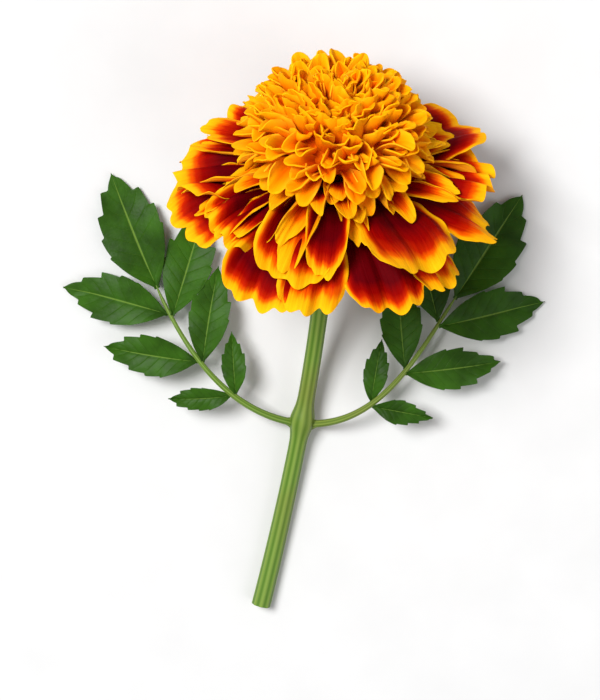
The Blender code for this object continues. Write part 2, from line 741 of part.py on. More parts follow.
def make_leaf(name, side):
    """One leaf: a slim rib with its toothed leaflets."""
    line = leaf_line(side)
    radii = RIB_RADIUS * np.linspace(RIB_FOOT, RIB_TIP, len(line))
    pieces = [tube("rib", line, radii, 6)]

    def along_rib(share):
        place = share * (len(line) - 1)
        low = min(int(place), len(line) - 2)
        return line[low].lerp(line[low + 1], place - low), (line[low + 1] - line[low]).normalized()

    for place, length, half_width in LEAFLET_PAIRS:
        root, forward = along_rib(place)
        across = forward.cross(Vector((0, 0, 1))).normalized()
        up = across.cross(forward)
        for hand in (-1, 1):
            heading = forward * math.cos(LEAFLET_ANGLE) + across * hand * math.sin(LEAFLET_ANGLE)
            start = root + (across - forward) * hand * LEAFLET_STAGGER
            grid = leaflet_grid(start, heading, up, length * MM, half_width * MM, LEAFLET_DROOP)
            grid = bent_over_table(grid, LEAF_CLEARANCE)
            pieces.append(closed_object("leaflet", *blade(grid, LEAF_THICKNESS)))
    place, length, half_width = LEAFLET_AT_TIP
    root, forward = along_rib(place)
    across = forward.cross(Vector((0, 0, 1))).normalized()
    level = Vector((forward.x, forward.y, 0)).normalized()
    heading = (level + forward).normalized()
    grid = leaflet_grid(root, heading, across.cross(forward), length * MM, half_width * MM, LEAFLET_DROOP)
    grid = bent_over_table(grid, LEAF_CLEARANCE)
    pieces.append(closed_object("leaflet", *blade(grid, LEAF_THICKNESS)))
    return fused(name, pieces)


def material(name, colour, roughness):
    """A plain Principled material."""
    result = bpy.data.materials.new(name)
    result.use_nodes = True
    shader = result.node_tree.nodes["Principled BSDF"]
    shader.inputs["Base Color"].default_value = (*colour, 1)
    shader.inputs["Roughness"].default_value = roughness
    result.diffuse_color = (*colour, 1)
    return result


def finish(part, finish_material):
    """Smooth a part's round faces and give it its material."""
    part.data.shade_smooth()
    part.data.set_sharp_from_angle(angle=50 * DEGREE)
    part.data.materials.clear()
    part.data.materials.append(finish_material)


def main():
    for old in list(bpy.data.objects):
        bpy.data.objects.remove(old, do_unlink=True)
    leaf_green = material("leaf", (0.035, 0.12, 0.012), 0.5)
    finish(make_rays(), material("ray", (0.42, 0.01, 0.003), 0.6))
    finish(make_crest(), material("crest", (0.95, 0.3, 0.005), 0.6))
    finish(make_involucre(), material("involucre", (0.22, 0.27, 0.03), 0.5))
    finish(make_stalk(), material("stalk", (0.12, 0.2, 0.03), 0.5))
    finish(make_leaf("leaf_left", -1), leaf_green)
    finish(make_leaf("leaf_right", 1), leaf_green.copy())


main()
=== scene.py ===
"""Looks of the picked crested marigold: petals, crest, cup, stalk and leaves round the part."""

import math
import random
from dataclasses import dataclass

import bpy
import numpy as np
from mathutils import Matrix, Vector


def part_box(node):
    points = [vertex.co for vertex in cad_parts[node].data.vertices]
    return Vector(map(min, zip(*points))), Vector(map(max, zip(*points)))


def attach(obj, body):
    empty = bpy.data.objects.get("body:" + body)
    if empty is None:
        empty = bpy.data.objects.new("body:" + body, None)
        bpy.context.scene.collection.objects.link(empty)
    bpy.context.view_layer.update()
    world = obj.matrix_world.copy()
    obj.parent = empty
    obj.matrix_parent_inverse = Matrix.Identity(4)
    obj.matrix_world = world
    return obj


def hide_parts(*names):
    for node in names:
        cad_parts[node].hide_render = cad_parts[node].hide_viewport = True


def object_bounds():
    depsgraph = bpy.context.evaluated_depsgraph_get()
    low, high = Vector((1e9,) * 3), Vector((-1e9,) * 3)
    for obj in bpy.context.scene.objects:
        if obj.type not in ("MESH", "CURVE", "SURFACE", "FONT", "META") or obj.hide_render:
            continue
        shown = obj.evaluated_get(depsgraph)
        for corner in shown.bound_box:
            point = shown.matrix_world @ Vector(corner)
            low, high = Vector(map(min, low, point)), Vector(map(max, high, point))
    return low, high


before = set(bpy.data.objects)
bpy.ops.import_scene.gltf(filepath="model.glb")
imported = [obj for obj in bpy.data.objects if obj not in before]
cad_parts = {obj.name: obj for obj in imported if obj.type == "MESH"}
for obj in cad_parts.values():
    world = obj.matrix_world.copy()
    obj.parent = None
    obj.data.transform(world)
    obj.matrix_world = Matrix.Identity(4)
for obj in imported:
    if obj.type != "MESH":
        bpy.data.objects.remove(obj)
CAD_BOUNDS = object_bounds()

MM = 0.001
DEGREE = math.pi / 180
GOLDEN_ANGLE = math.pi * (3 - math.sqrt(5))
RAY_SEED, CREST_SEED, LEAF_SEED = 10, 30, 40  # of the random draws

# The bloom's own frame: its origin is the middle of the receptacle and +Z its axis. It is placed
# from the low corner of the part's green cup, which hangs from that origin.
CUP_TO_HEAD = Vector((7.09, 18.42, 11.91)) * MM
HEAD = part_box("involucre")[0] + CUP_TO_HEAD
AXIS_RISE = 30 * DEGREE
BLOOM_FRAME = Matrix.Translation(HEAD) @ Matrix.Rotation(AXIS_RISE - 90 * DEGREE, 4, "X")

# How the petals meet the table and each other.
PRESSED_HEIGHT = 0.25 * MM
PRESS_SOFTNESS = 0.35 * MM
DIVIDE_LEVEL, SPOON_LEVEL = 9.4 * MM, 11.5 * MM  # the broad and the small rays stay under these
DIVIDE_SOFTNESS = 1.5 * MM
PETAL_THICKNESS = 0.34 * MM
RAY_ROOT_RADIUS = 4.8 * MM
# Steps along and across one blade.
BROAD_RAY_STEPS, INNER_RAY_STEPS, SPOON_RAY_STEPS = (48, 44), (36, 20), (24, 14)
CREST_FLORET_STEPS, LEAFLET_STEPS = (14, 10), (96, 20)

# Rays: azimuth in degrees, length and half width in mm, slope of the tip in degrees, width of the
# yellow margin as a share of the usual one.
LOWER_RAYS = (
    (-162, 29.5, 9.0, -40, 0.9),
    (-116, 32.0, 8.6, -50, 0.7),
    (-93, 30.5, 7.0, -50, 1.3),
    (-66, 31.0, 8.4, -50, 0.65),
    (-40, 30.0, 6.8, -52, 0.9),
    (-8, 31.0, 7.5, -42, 1.4),
    (28, 29.5, 9.5, -38, 0.8),
    (67.5, 30.0, 9.5, -38, 0.8),
    (112.5, 30.0, 9.5, -40, 0.8),
    (154, 29.0, 9.5, -48, 0.8),
)
# The same, then the depth in mm of the folds across the blade, and their number.
UPPER_RAYS = (
    (-172, 28.0, 9.5, -24, 1.0, 1.2, 4),
    (-136, 26.0, 8.0, -34, 0.85, 1.3, 4),
    (-108, 27.5, 8.2, -46, 1.1, 1.3, 2),
    (-47, 28.5, 12.4, -29, 1.3, 0.5, 2),
    (0, 28.5, 8.5, -16, 1.0, 1.2, 4),
    (34, 28.0, 11.0, -8, 0.75, 0.8, 2),
    (90, 26.0, 10.5, -22, 0.8, 0.8, 3),
    (144, 25.5, 10.5, -32, 0.8, 0.9, 3),
)
# Azimuth, length, half width, slopes of root and tip, roll in degrees, cupping as a share of the
# half width, width of the margin.
INNER_RAYS = (
    (-169, 27.0, 3.4, 20, -20, 12, 0.4, 1.2),
    (-154, 24.5, 3.6, 20, -30, 14, 0.25, 0.9),
    (-147, 26.0, 3.4, 22, -34, 10, 0.25, 0.9),
    (-140, 26.0, 3.4, 24, -36, 8, 0.25, 0.9),
    (-132, 25.0, 3.2, 26, -36, 10, 0.3, 1.0),
    (-112, 23.5, 2.6, 38, -32, -35, 0.9, 4.0),
    (-103, 27.0, 3.2, 28, -44, -10, 0.5, 3.6),
    (-90, 26.5, 4.4, 30, -48, 8, 0.7, 0.9),
    (-74, 20.0, 2.8, 38, -38, 20, 0.8, 3.2),
    (-22, 23.0, 3.6, 36, -20, 16, 0.5, 1.8),
    (-7, 24.5, 3.2, 32, -22, -12, 0.5, 1.8),
    (4, 26.0, 3.6, 30, -18, -20, 0.5, 1.4),
    (13, 24.5, 3.6, 32, -12, 10, 0.4, 1.4),
    (28, 22.0, 5.0, 38, -4, 12, 0.35, 1.2),
    (50, 23.0, 5.0, 36, -6, -10, 0.3, 1.4),
    (72, 22.0, 5.0, 36, -8, 10, 0.3, 1.4),
    (95, 23.0, 5.0, 36, -6, -14, 0.3, 1.4),
    (118, 22.0, 4.6, 38, -4, 14, 0.3, 1.4),
    (141, 24.0, 3.8, 44, 30, -14, 0.6, 3.0),
    (163, 24.0, 4.6, 34, -6, 10, 0.3, 1.4),
    (180, 25.0, 3.4, 26, -14, 22, 0.4, 1.4),
)
SPOON_RAY_COUNT = 40

CREST_RADIUS, CREST_RISE, CREST_LEVEL = 11.8 * MM, 8.5 * MM, 12.0 * MM
CREST_FLORET_COUNT = 270
CREST_FLORET_THICKNESS = 0.5 * MM
CREST_LOWEST_POLAR = 92 * DEGREE  # of a floret's root, from the axis
CREST_ROOT_INSET, CREST_ROOT_DEPTH = 1.2 * MM, 0.8 * MM  # of a floret's root in the core
# Lean of a floret away from the axis: for each radian of its polar angle, and more at the edge.
CREST_SPREAD, CREST_OUTER_SPREAD = 0.38, 42 * DEGREE

# Profiles of turned bodies in the bloom's frame: height and radius in mm.
RECEPTACLE_PROFILE = (
    (0.0, 6.4), (0.8, 7.7), (1.7, 8.8), (3.0, 9.8), (4.0, 10.0), (5.0, 9.8),
    (7.0, 8.2), (8.0, 6.0), (8.4, 4.0),
)
CORE_FOOT_PROFILE = ((8.7, 3.4), (9.9, 3.6), (10.3, 9.8))
CUP_PROFILE = (
    (-20.0, 2.2), (-19.0, 2.4), (-18.0, 2.9), (-16.6, 3.8), (-15.0, 4.8), (-13.3, 5.6),
    (-11.5, 6.2), (-9.8, 6.6), (-8.0, 6.9), (-6.5, 7.1), (-5.0, 7.2), (-4.2, 7.22), (-3.4, 7.2),
)
# Over the cup's rim: radius in mm, and the share of the teeth's rise reached there.
CUP_LIP = ((7.15, 0.5), (7.05, 1.0), (6.75, 1.0), (6.2, 0.6))
BRACTS = 9
BRACT_TOOTH, BRACT_HOLLOW = 3.0 * MM, 2.8 * MM  # rise of the teeth, and depth between them
BRACT_RELIEF, BRACT_RELIEF_RISE = 0.22 * MM, 6  # height of the ribs, and mm in which they grow
TURNED_SIDES, CUP_SIDES = 40, 216

# Stalk and leaves, as in the part.
INVOLUCRE_NECK = CUP_PROFILE[0][0] * MM
GAP = 0.3 * MM
STALK_REACH, STALK_DRIFT = 76 * MM, -7 * MM  # from its top to the cut, along -Y and along X
STALK_RADIUS_TOP, STALK_RADIUS, STALK_RADIUS_CUT = 2.1 * MM, 1.65 * MM, 1.9 * MM
STALK_SUNK = 0.15 * MM  # its flat on the table
# The swollen joint: its place along the stalk, its swelling, and its width along the stalk.
NODE_SHARE, NODE_SWELL, NODE_WIDTH = 0.47, 0.8 * MM, 0.035
STALK_RINGS = 22  # of the part's stalk, whose joint is at one of them
STALK_STATIONS, STALK_SIDES = 150, 64
STALK_RIDGES, STALK_RIDGE_HEIGHT = 8, 0.09 * MM
# The pale cut: mm past the stalk's end, and share of its radius.
CUT_RINGS = ((-0.3, 0.9), (0.05, 0.88), (0.12, 0.6))
CUT_SIDES, CUT_CLEARANCE = 48, 0.02 * MM
LEAF_LENGTH = 42 * MM
LEAF_SPREAD, LEAF_LOPSIDED = 42 * DEGREE, 3 * DEGREE
LEAF_SETBACK = 0.35 * MM
LEAF_TIP_HEIGHT = 3.0 * MM
LEAF_THICKNESS = 0.32 * MM
LEAF_STATIONS = 60
LEAF_RIB_RADIUS = 0.62 * MM
LEAF_RIB_SIDES = 20
# The rib's foot, sunk in the stalk: how far in, and its radius.
LEAF_FOOT = ((2.0 * MM, 1.3 * MM), (1.2 * MM, 1.2 * MM), (0.6 * MM, 0.95 * MM))
# Place along the rib as a share, length and half width in mm.
LEAFLET_PAIRS = ((0.3, 13.0, 2.4), (0.54, 20.0, 4.0), (0.82, 23.0, 4.8))
LEAFLET_TIP = (0.97, 26.0, 6.2)
LEAFLET_TEETH, LEAFLET_TOOTH_PEAK = 6, 0.8  # on each side, and where in its stretch a tooth peaks
LEAFLET_VEINS, LEAFLET_VEIN_SLANT = 9, 0.16  # on each side, and their rise to the margin
LEAFLET_ANGLE = 46 * DEGREE
LEAFLET_FOLD = 0.25
LEAFLET_STAGGER = 0.35 * MM
LEAFLET_DROOP = 2.0 * MM
LEAF_CLEARANCE = 0.7 * MM

# Stage, in metres.
FLOOR_REACH, FLOOR_SUNK = 1.2, 0.2 * MM
GLOW, BACKDROP = 0.34, 0.9  # strength of the light from all round, and of what is seen behind
# Name, place, energy in watts, and width.
LIGHTS = (
    ("key", (-0.84, 0.6, 1.68), 45.0, 0.75),
    ("fill", (1.4, -0.5, 1.2), 9.0, 1.4),
)
CAMERA_ELEVATION, CAMERA_ROLL = 79 * DEGREE, 5 * DEGREE
CAMERA_DISTANCE, FRAMED_HEIGHT = 0.7, 0.140
SENSOR_SIZE = 36


@dataclass
class Floret:
    """The blade of one floret in the bloom's frame: angles in radians and lengths in metres."""

    azimuth: float  # of its root round the axis
    root_radius: float
    root_height: float
    length: float
    half_width: float
    root_slope: float  # of its middle line over the receptacle's plane
    tip_slope: float
    bend: float = 1.0  # over 1 the slope changes late, under 1 early
    turn: float = 0.0  # of its heading away from the axis
    roll: float = 0.0  # about its middle line
    twist: float = 0.0  # roll added from root to tip
    cup: float = 0.0  # rise of its sides as a share of the half width
    fold: float = 0.0  # depth of the folds along it
    folds: float = 3.0
    wave: float = 0.0  # height of the waves in its sides
    waves: float = 1.3
    ruffle: float = 0.0  # height of the small waves in its margin
    scallop: float = 0.0  # depth of the lobes of its margin, as a share of the half width
    phase: float = 0.0
    crumple: float = 0.0  # height of its uneven bulges
    ribs: float = 0.0  # height of the fine ridges along it
    rounding: float = 0.36  # share of its length taken by its rounded end
    notch: float = 0.05  # depth of the hollows between the lobes of its tip
    claw: float = 0.25  # width of its root as a share of the half width
    widest: float = 0.7
    sweep: float = 0.0  # sideways reach of its tip
    curl: float = 0.0  # slope added at its tip
    rim: float = 1.0  # width of its yellow margin, as a share of the broad rays'
    tone: float = 0.5


def soft_above(value, limit, softness):
    """value, but bending smoothly to stay above limit."""
    over = value - limit
    return limit + (over + np.sqrt(over**2 + softness**2)) / 2


def smooth_step(value, low, high):
    """0 up to low and 1 from high on, with a smooth rise between them."""
    share = np.clip((value - low) / (high - low), 0, 1)
    return share * share * (3 - 2 * share)


def lobes(angle):
    """A row of rounded lobes with narrow hollows between them, from 0 to about 1."""
    return np.sqrt(np.sin(angle) ** 2 + 0.02)


def lost_at_tip(floret, s, v, scallop):
    """Share of its length that a blade lacks for its round end, its lobes and its hollows."""
    lost = floret.rounding * (1 - np.sqrt(1 - 0.98 * v**2))
    lost = lost + 0.5 * scallop * (1 - lobes(1.9 * math.pi * v + floret.phase))
    hollow = np.exp(-(((v - 0.35 * math.sin(floret.phase)) / 0.22) ** 2))
    hollow = hollow + 0.35 * np.exp(-(((v + 0.55 * math.cos(floret.phase)) / 0.15) ** 2))
    return lost + floret.notch * hollow * smooth_step(s, 0.4, 1)


def middle_line(floret, s):
    """Reach, rise and slope of a floret's middle line at shares of its length."""
    line = np.linspace(0, 1, 65)
    slope = floret.root_slope + (floret.tip_slope - floret.root_slope) * line**floret.bend
    slope = slope + floret.curl * smooth_step(line, 0.7, 1)
    middle = (slope[1:] + slope[:-1]) / 2
    step = floret.length * (line[1] - line[0])
    reach = np.interp(s, line, np.concatenate([[0], np.cumsum(np.cos(middle))]) * step)
    rise = np.interp(s, line, np.concatenate([[0], np.cumsum(np.sin(middle))]) * step)
    return reach, rise, np.interp(s, line, slope)


def relief(floret, s, v, side):
    """Height of a blade's cupping, folds, waves, ruffles, bulges and ridges over its plain surface."""
    ramp = smooth_step(s, 0.08, 0.8)
    fold = floret.fold * np.cos(math.pi * floret.folds * v + floret.phase)
    swing = 2 * math.pi * floret.waves * s + floret.phase + 1.9 * np.sign(v)
    wave = floret.wave * np.abs(v) ** 1.6 * np.sin(swing)
    side_ruffle = np.abs(v) ** 5 * np.sin(2 * math.pi * 5.3 * s + 3 * floret.phase + np.sign(v))
    tip_ruffle = s**8 * np.sin(2 * math.pi * 2.6 * v + 2 * floret.phase)
    bulge = np.sin(4.1 * s + 2.3 * v + floret.phase) * np.sin(5.2 * v - 2.9 * s + 2 * floret.phase)
    bulge = bulge + 0.5 * np.sin(9.7 * s - 4.4 * v + 3 * floret.phase) * np.sin(7.9 * v + 5.0 * s)
    ridge = np.cos(math.pi * 7 * v + 1.3 * np.sin(3 * s + floret.phase)) * (1 - v**6)
    uneven = fold + wave + floret.ruffle * (side_ruffle + 0.4 * tip_ruffle)
    uneven = uneven + floret.crumple * bulge + floret.ribs * ridge
    return floret.cup * np.abs(side * v) + ramp * uneven


def share_grid(rows, columns):
    """Shares along a blade (0 to 1) and across it (-1 to 1) at the points of its grid."""
    return np.meshgrid(np.linspace(0, 1, rows + 1), np.linspace(-1, 1, columns + 1), indexing="ij")


def floret_grid(floret, rows, columns):
    """Points of the middle surface of a floret, with their shares across it and along it."""
    s, v = share_grid(rows, columns)
    shares = np.stack([v, s], axis=-1)
    scallop = floret.scallop * smooth_step(s, 0.25, 0.7)
    s = s * (1 - lost_at_tip(floret, s, v, scallop))
    reach, rise, slope = middle_line(floret, s)
    width = np.sin(math.pi / 2 * np.clip(s / floret.widest, 0, 1)) ** 1.8
    side = floret.half_width * (floret.claw + (1 - floret.claw) * width) * v
    margin = lobes(2.6 * math.pi * s + floret.phase + 1.7 * np.sign(v))
    side = side * (1 - scallop * v**4 * (1 - margin))
    bump = relief(floret, s, v, side)
    roll = floret.roll + floret.twist * s
    lift = side * np.sin(roll) + bump * np.cos(roll)
    outward = reach - np.sin(slope) * lift
    upward = floret.root_height + rise + np.cos(slope) * lift
    sideways = side * np.cos(roll) - bump * np.sin(roll) + floret.sweep * s**2
    root_x = floret.root_radius * math.cos(floret.azimuth)
    root_y = floret.root_radius * math.sin(floret.azimuth)
    cosine, sine = math.cos(floret.azimuth + floret.turn), math.sin(floret.azimuth + floret.turn)
    x = root_x + outward * cosine - sideways * sine
    y = root_y + outward * sine + sideways * cosine
    return np.stack([x, y, upward], axis=-1), shares


def lower_rays(draw):
    """The lowest whorl: broad rays that droop."""
    for azimuth, length, half_width, tip_slope, rim in LOWER_RAYS:
        yield Floret(
            azimuth=azimuth * DEGREE,
            root_radius=RAY_ROOT_RADIUS,
            root_height=0.9 * MM,
            length=length * MM,
            half_width=half_width * MM,
            root_slope=8 * DEGREE,
            tip_slope=(tip_slope + draw(3)) * DEGREE,
            bend=1.3,
            roll=(-7 + draw(4)) * DEGREE,
            twist=draw(10) * DEGREE,
            cup=-0.05,
            fold=0.4 * MM,
            folds=2.5 + draw(0.5),
            wave=1.3 * MM,
            waves=1.2 + draw(0.3),
            ruffle=0.36 * MM,
            scallop=0.08,
            crumple=0.7 * MM,
            ribs=0.09 * MM,
            phase=draw(math.pi),
            rounding=0.22,
            notch=0.045,
            widest=0.85,
            sweep=draw(2) * MM,
            curl=draw(14) * DEGREE,
            rim=rim,
        )


def upper_rays(draw):
    """The second whorl: broad rays that spread, some of them folded along their length."""
    for azimuth, length, half_width, tip_slope, rim, fold, folds in UPPER_RAYS:
        yield Floret(
            azimuth=azimuth * DEGREE,
            root_radius=RAY_ROOT_RADIUS,
            root_height=1.6 * MM,
            length=length * MM,
            half_width=half_width * MM,
            root_slope=22 * DEGREE,
            tip_slope=(tip_slope + draw(3)) * DEGREE,
            bend=1.1,
            roll=(-9 + draw(5)) * DEGREE,
            twist=draw(14) * DEGREE,
            cup=0.05,
            fold=fold * MM,
            folds=folds,
            wave=1.4 * MM,
            waves=1.4 + draw(0.3),
            ruffle=0.36 * MM,
            scallop=0.08,
            crumple=0.8 * MM,
            ribs=0.1 * MM,
            phase=draw(math.pi),
            rounding=0.3,
            notch=0.05,
            widest=0.78,
            sweep=draw(2) * MM,
            curl=draw(14) * DEGREE,
            rim=rim,
        )


def inner_rays(draw):
    """The third whorl: narrower rays, fanned, folded or half upright."""
    for azimuth, length, half_width, root_slope, tip_slope, roll, cup, rim in INNER_RAYS:
        yield Floret(
            azimuth=(azimuth + draw(2)) * DEGREE,
            root_radius=RAY_ROOT_RADIUS,
            root_height=2.2 * MM,
            length=length * MM,
            half_width=half_width * MM,
            root_slope=root_slope * DEGREE,
            tip_slope=tip_slope * DEGREE,
            turn=draw(5) * DEGREE,
            roll=roll * DEGREE,
            twist=draw(24) * DEGREE,
            cup=cup,
            fold=0.3 * MM,
            folds=2.0,
            wave=0.8 * MM,
            ruffle=0.3 * MM,
            scallop=0.07,
            crumple=0.4 * MM,
            phase=draw(math.pi),
            rounding=0.45,
            notch=0.06,
            claw=0.35,
            widest=0.62,
            sweep=draw(2) * MM,
            curl=draw(20) * DEGREE,
            rim=rim,
        )


def spoon_rays(draw):
    """Two rounds of small hollow rays between the broad ones and the crest, the upper one steeper."""
    for index in range(SPOON_RAY_COUNT):
        steep = index % 2
        yield Floret(
            azimuth=(index * 360 / SPOON_RAY_COUNT + 5 + draw(6)) * DEGREE,
            root_radius=RAY_ROOT_RADIUS,
            root_height=(2.6 + 1.6 * steep) * MM,
            length=(19.0 - 2.0 * steep + draw(2.5)) * MM,
            half_width=(2.6 + draw(0.7)) * MM,
            root_slope=(44 + 10 * steep) * DEGREE,
            tip_slope=(-6 + 12 * steep + draw(20)) * DEGREE,
            bend=0.8,
            turn=draw(16) * DEGREE,
            roll=draw(45) * DEGREE,
            twist=draw(35) * DEGREE,
            cup=0.9 + draw(0.3),
            wave=0.5 * MM,
            ruffle=0.15 * MM,
            crumple=0.25 * MM,
            phase=draw(math.pi),
            rounding=0.6,
            notch=0.02,
            claw=0.4,
            widest=0.55,
            sweep=draw(3) * MM,
            curl=draw(26) * DEGREE,
            rim=2.6 + draw(0.8),
        )


def crest_florets(draw):
    """The crest's crowded florets: nearly upright, the outermost ones spreading and drooping."""
    for index in range(CREST_FLORET_COUNT):
        share_of_cap = (index + 0.5) / CREST_FLORET_COUNT
        polar = math.acos(1 - share_of_cap * (1 - math.cos(CREST_LOWEST_POLAR)))
        share = polar / CREST_LOWEST_POLAR
        spread = CREST_SPREAD * polar + CREST_OUTER_SPREAD * smooth_step(share, 0.64, 1.0)
        slope = 90 * DEGREE - spread + draw(17) * DEGREE
        droop = (26 + draw(26)) * DEGREE * smooth_step(share, 0.5, 0.95) + draw(20) * DEGREE
        yield Floret(
            azimuth=index * GOLDEN_ANGLE + draw(0.25),
            root_radius=max(0.2 * MM, CREST_RADIUS * math.sin(polar) - CREST_ROOT_INSET),
            root_height=CREST_LEVEL + CREST_RISE * math.cos(polar) - CREST_ROOT_DEPTH,
            length=(6.2 + 3.4 * share + draw(1.4)) * MM,
            half_width=(1.75 + 0.25 * share + draw(0.35)) * MM,
            root_slope=slope,
            tip_slope=slope - droop,
            bend=1.1,
            turn=draw(50 - 25 * share) * DEGREE,
            roll=draw(30) * DEGREE,
            twist=draw(35) * DEGREE,
            cup=0.85 + draw(0.4),
            wave=0.3 * MM,
            ruffle=0.06 * MM,
            crumple=0.28 * MM,
            phase=draw(math.pi),
            rounding=0.42 + draw(0.1),
            notch=0.0,
            claw=0.5,
            widest=0.62,
            sweep=draw(2.0) * MM,
            curl=(8 + draw(34)) * DEGREE,
            tone=0.5 + draw(0.5),
        )


def surface_normals(grid):
    """Unit normals of a grid of points."""
    normals = np.cross(np.gradient(grid, axis=0), np.gradient(grid, axis=1))
    return normals / np.maximum(np.linalg.norm(normals, axis=-1, keepdims=True), 1e-12)


class Sheets:
    """Collects closed blades in one mesh, with what their materials read: places and tones."""

    def __init__(self):
        self.points, self.faces, self.under = [], [], []
        self.places, self.tones, self.rims = [], [], []
        self.count = 0

    def add(self, grid, shares, thickness, tone=0.5, rim=1.0, edge=0.35):
        """Adds a blade round a grid of points; it thins to edge times its thickness at its margin."""
        rows, columns = grid.shape[:2]
        v, s = shares[..., 0], shares[..., 1]
        thin = 1 - (1 - edge) * np.maximum(np.abs(v) ** 6, s**10)
        offset = surface_normals(grid) * (thickness / 2 * thin)[..., None]
        index = np.arange(rows * columns).reshape(rows, columns)
        size = rows * columns
        a, b = index[:-1, :-1].ravel(), index[1:, :-1].ravel()
        c, d = index[1:, 1:].ravel(), index[:-1, 1:].ravel()
        upper = np.stack([a, b, c, d], axis=1)
        lower = upper[:, ::-1] + size
        rim_line = np.concatenate([index[:, 0], index[-1, 1:], index[-2::-1, -1], index[0, -2:0:-1]])
        after = np.roll(rim_line, -1)
        sides = np.stack([rim_line, rim_line + size, after + size, after], axis=1)
        place = np.stack([v.ravel() / 2 + 0.5, s.ravel()], axis=1)
        self.points += [(grid + offset).reshape(-1, 3), (grid - offset).reshape(-1, 3)]
        self.faces += [upper + self.count, lower + self.count, sides + self.count]
        self.under += [np.zeros(len(upper), int), np.ones(len(lower), int), np.zeros(len(sides), int)]
        self.places += [place, place]
        self.tones.append(np.full(size * 2, tone))
        self.rims.append(np.full(size * 2, rim))
        self.count += size * 2

    def build(self, name, node, materials):
        """Make the piece, with the first material on upper faces and the second on under faces."""
        points = np.concatenate(self.points)
        faces = np.concatenate(self.faces)
        mesh = bpy.data.meshes.new(name)
        mesh.vertices.add(len(points))
        mesh.vertices.foreach_set("co", points.astype(np.float32).ravel())
        mesh.loops.add(faces.size)
        mesh.loops.foreach_set("vertex_index", faces.astype(np.int32).ravel())
        mesh.polygons.add(len(faces))
        mesh.polygons.foreach_set("loop_start", (np.arange(len(faces)) * 4).astype(np.int32))
        mesh.polygons.foreach_set("material_index", np.concatenate(self.under).astype(np.int32))
        mesh.update(calc_edges=True)
        layer = mesh.uv_layers.new(name="blade")
        places = np.concatenate(self.places)[faces.ravel()]
        layer.data.foreach_set("uv", places.astype(np.float32).ravel())
        for label, values in (("tone", self.tones), ("rim", self.rims)):
            attribute = mesh.attributes.new(label, "FLOAT", "POINT")
            attribute.data.foreach_set("value", np.concatenate(values).astype(np.float32))
        mesh.shade_smooth()
        mesh.set_sharp_from_angle(angle=75 * DEGREE)
        for entry in materials:
            mesh.materials.append(entry)
        add_piece(name, mesh, node)


def add_piece(name, mesh, node):
    """Put a mesh in the scene, on the part's only body, in place of a node and with its finish."""
    piece = bpy.data.objects.new(name, mesh)
    bpy.context.scene.collection.objects.link(piece)
    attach(piece, "root")
    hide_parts(node)


def to_table(points):
    """Points of the bloom's frame, on the table."""
    matrix = np.array(BLOOM_FRAME)
    return np.asarray(points) @ matrix[:3, :3].T + matrix[:3, 3]


def bent_over_table(points, height):
    """Points on the table, with what would go below a height bent flat along it."""
    result = np.array(points)
    result[..., 2] = soft_above(result[..., 2], height, PRESS_SOFTNESS)
    return result


def under_level(grid, level):
    """A ray's grid, bent to stay under a level of the bloom."""
    result = np.array(grid)
    result[..., 2] = -soft_above(-result[..., 2], -level, DIVIDE_SOFTNESS)
    return result


def draws(seed):
    """A function that draws a number from -amount to amount, in the same order each time."""
    generator = random.Random(seed)
    return lambda amount: generator.uniform(-amount, amount)


# ---- materials ----

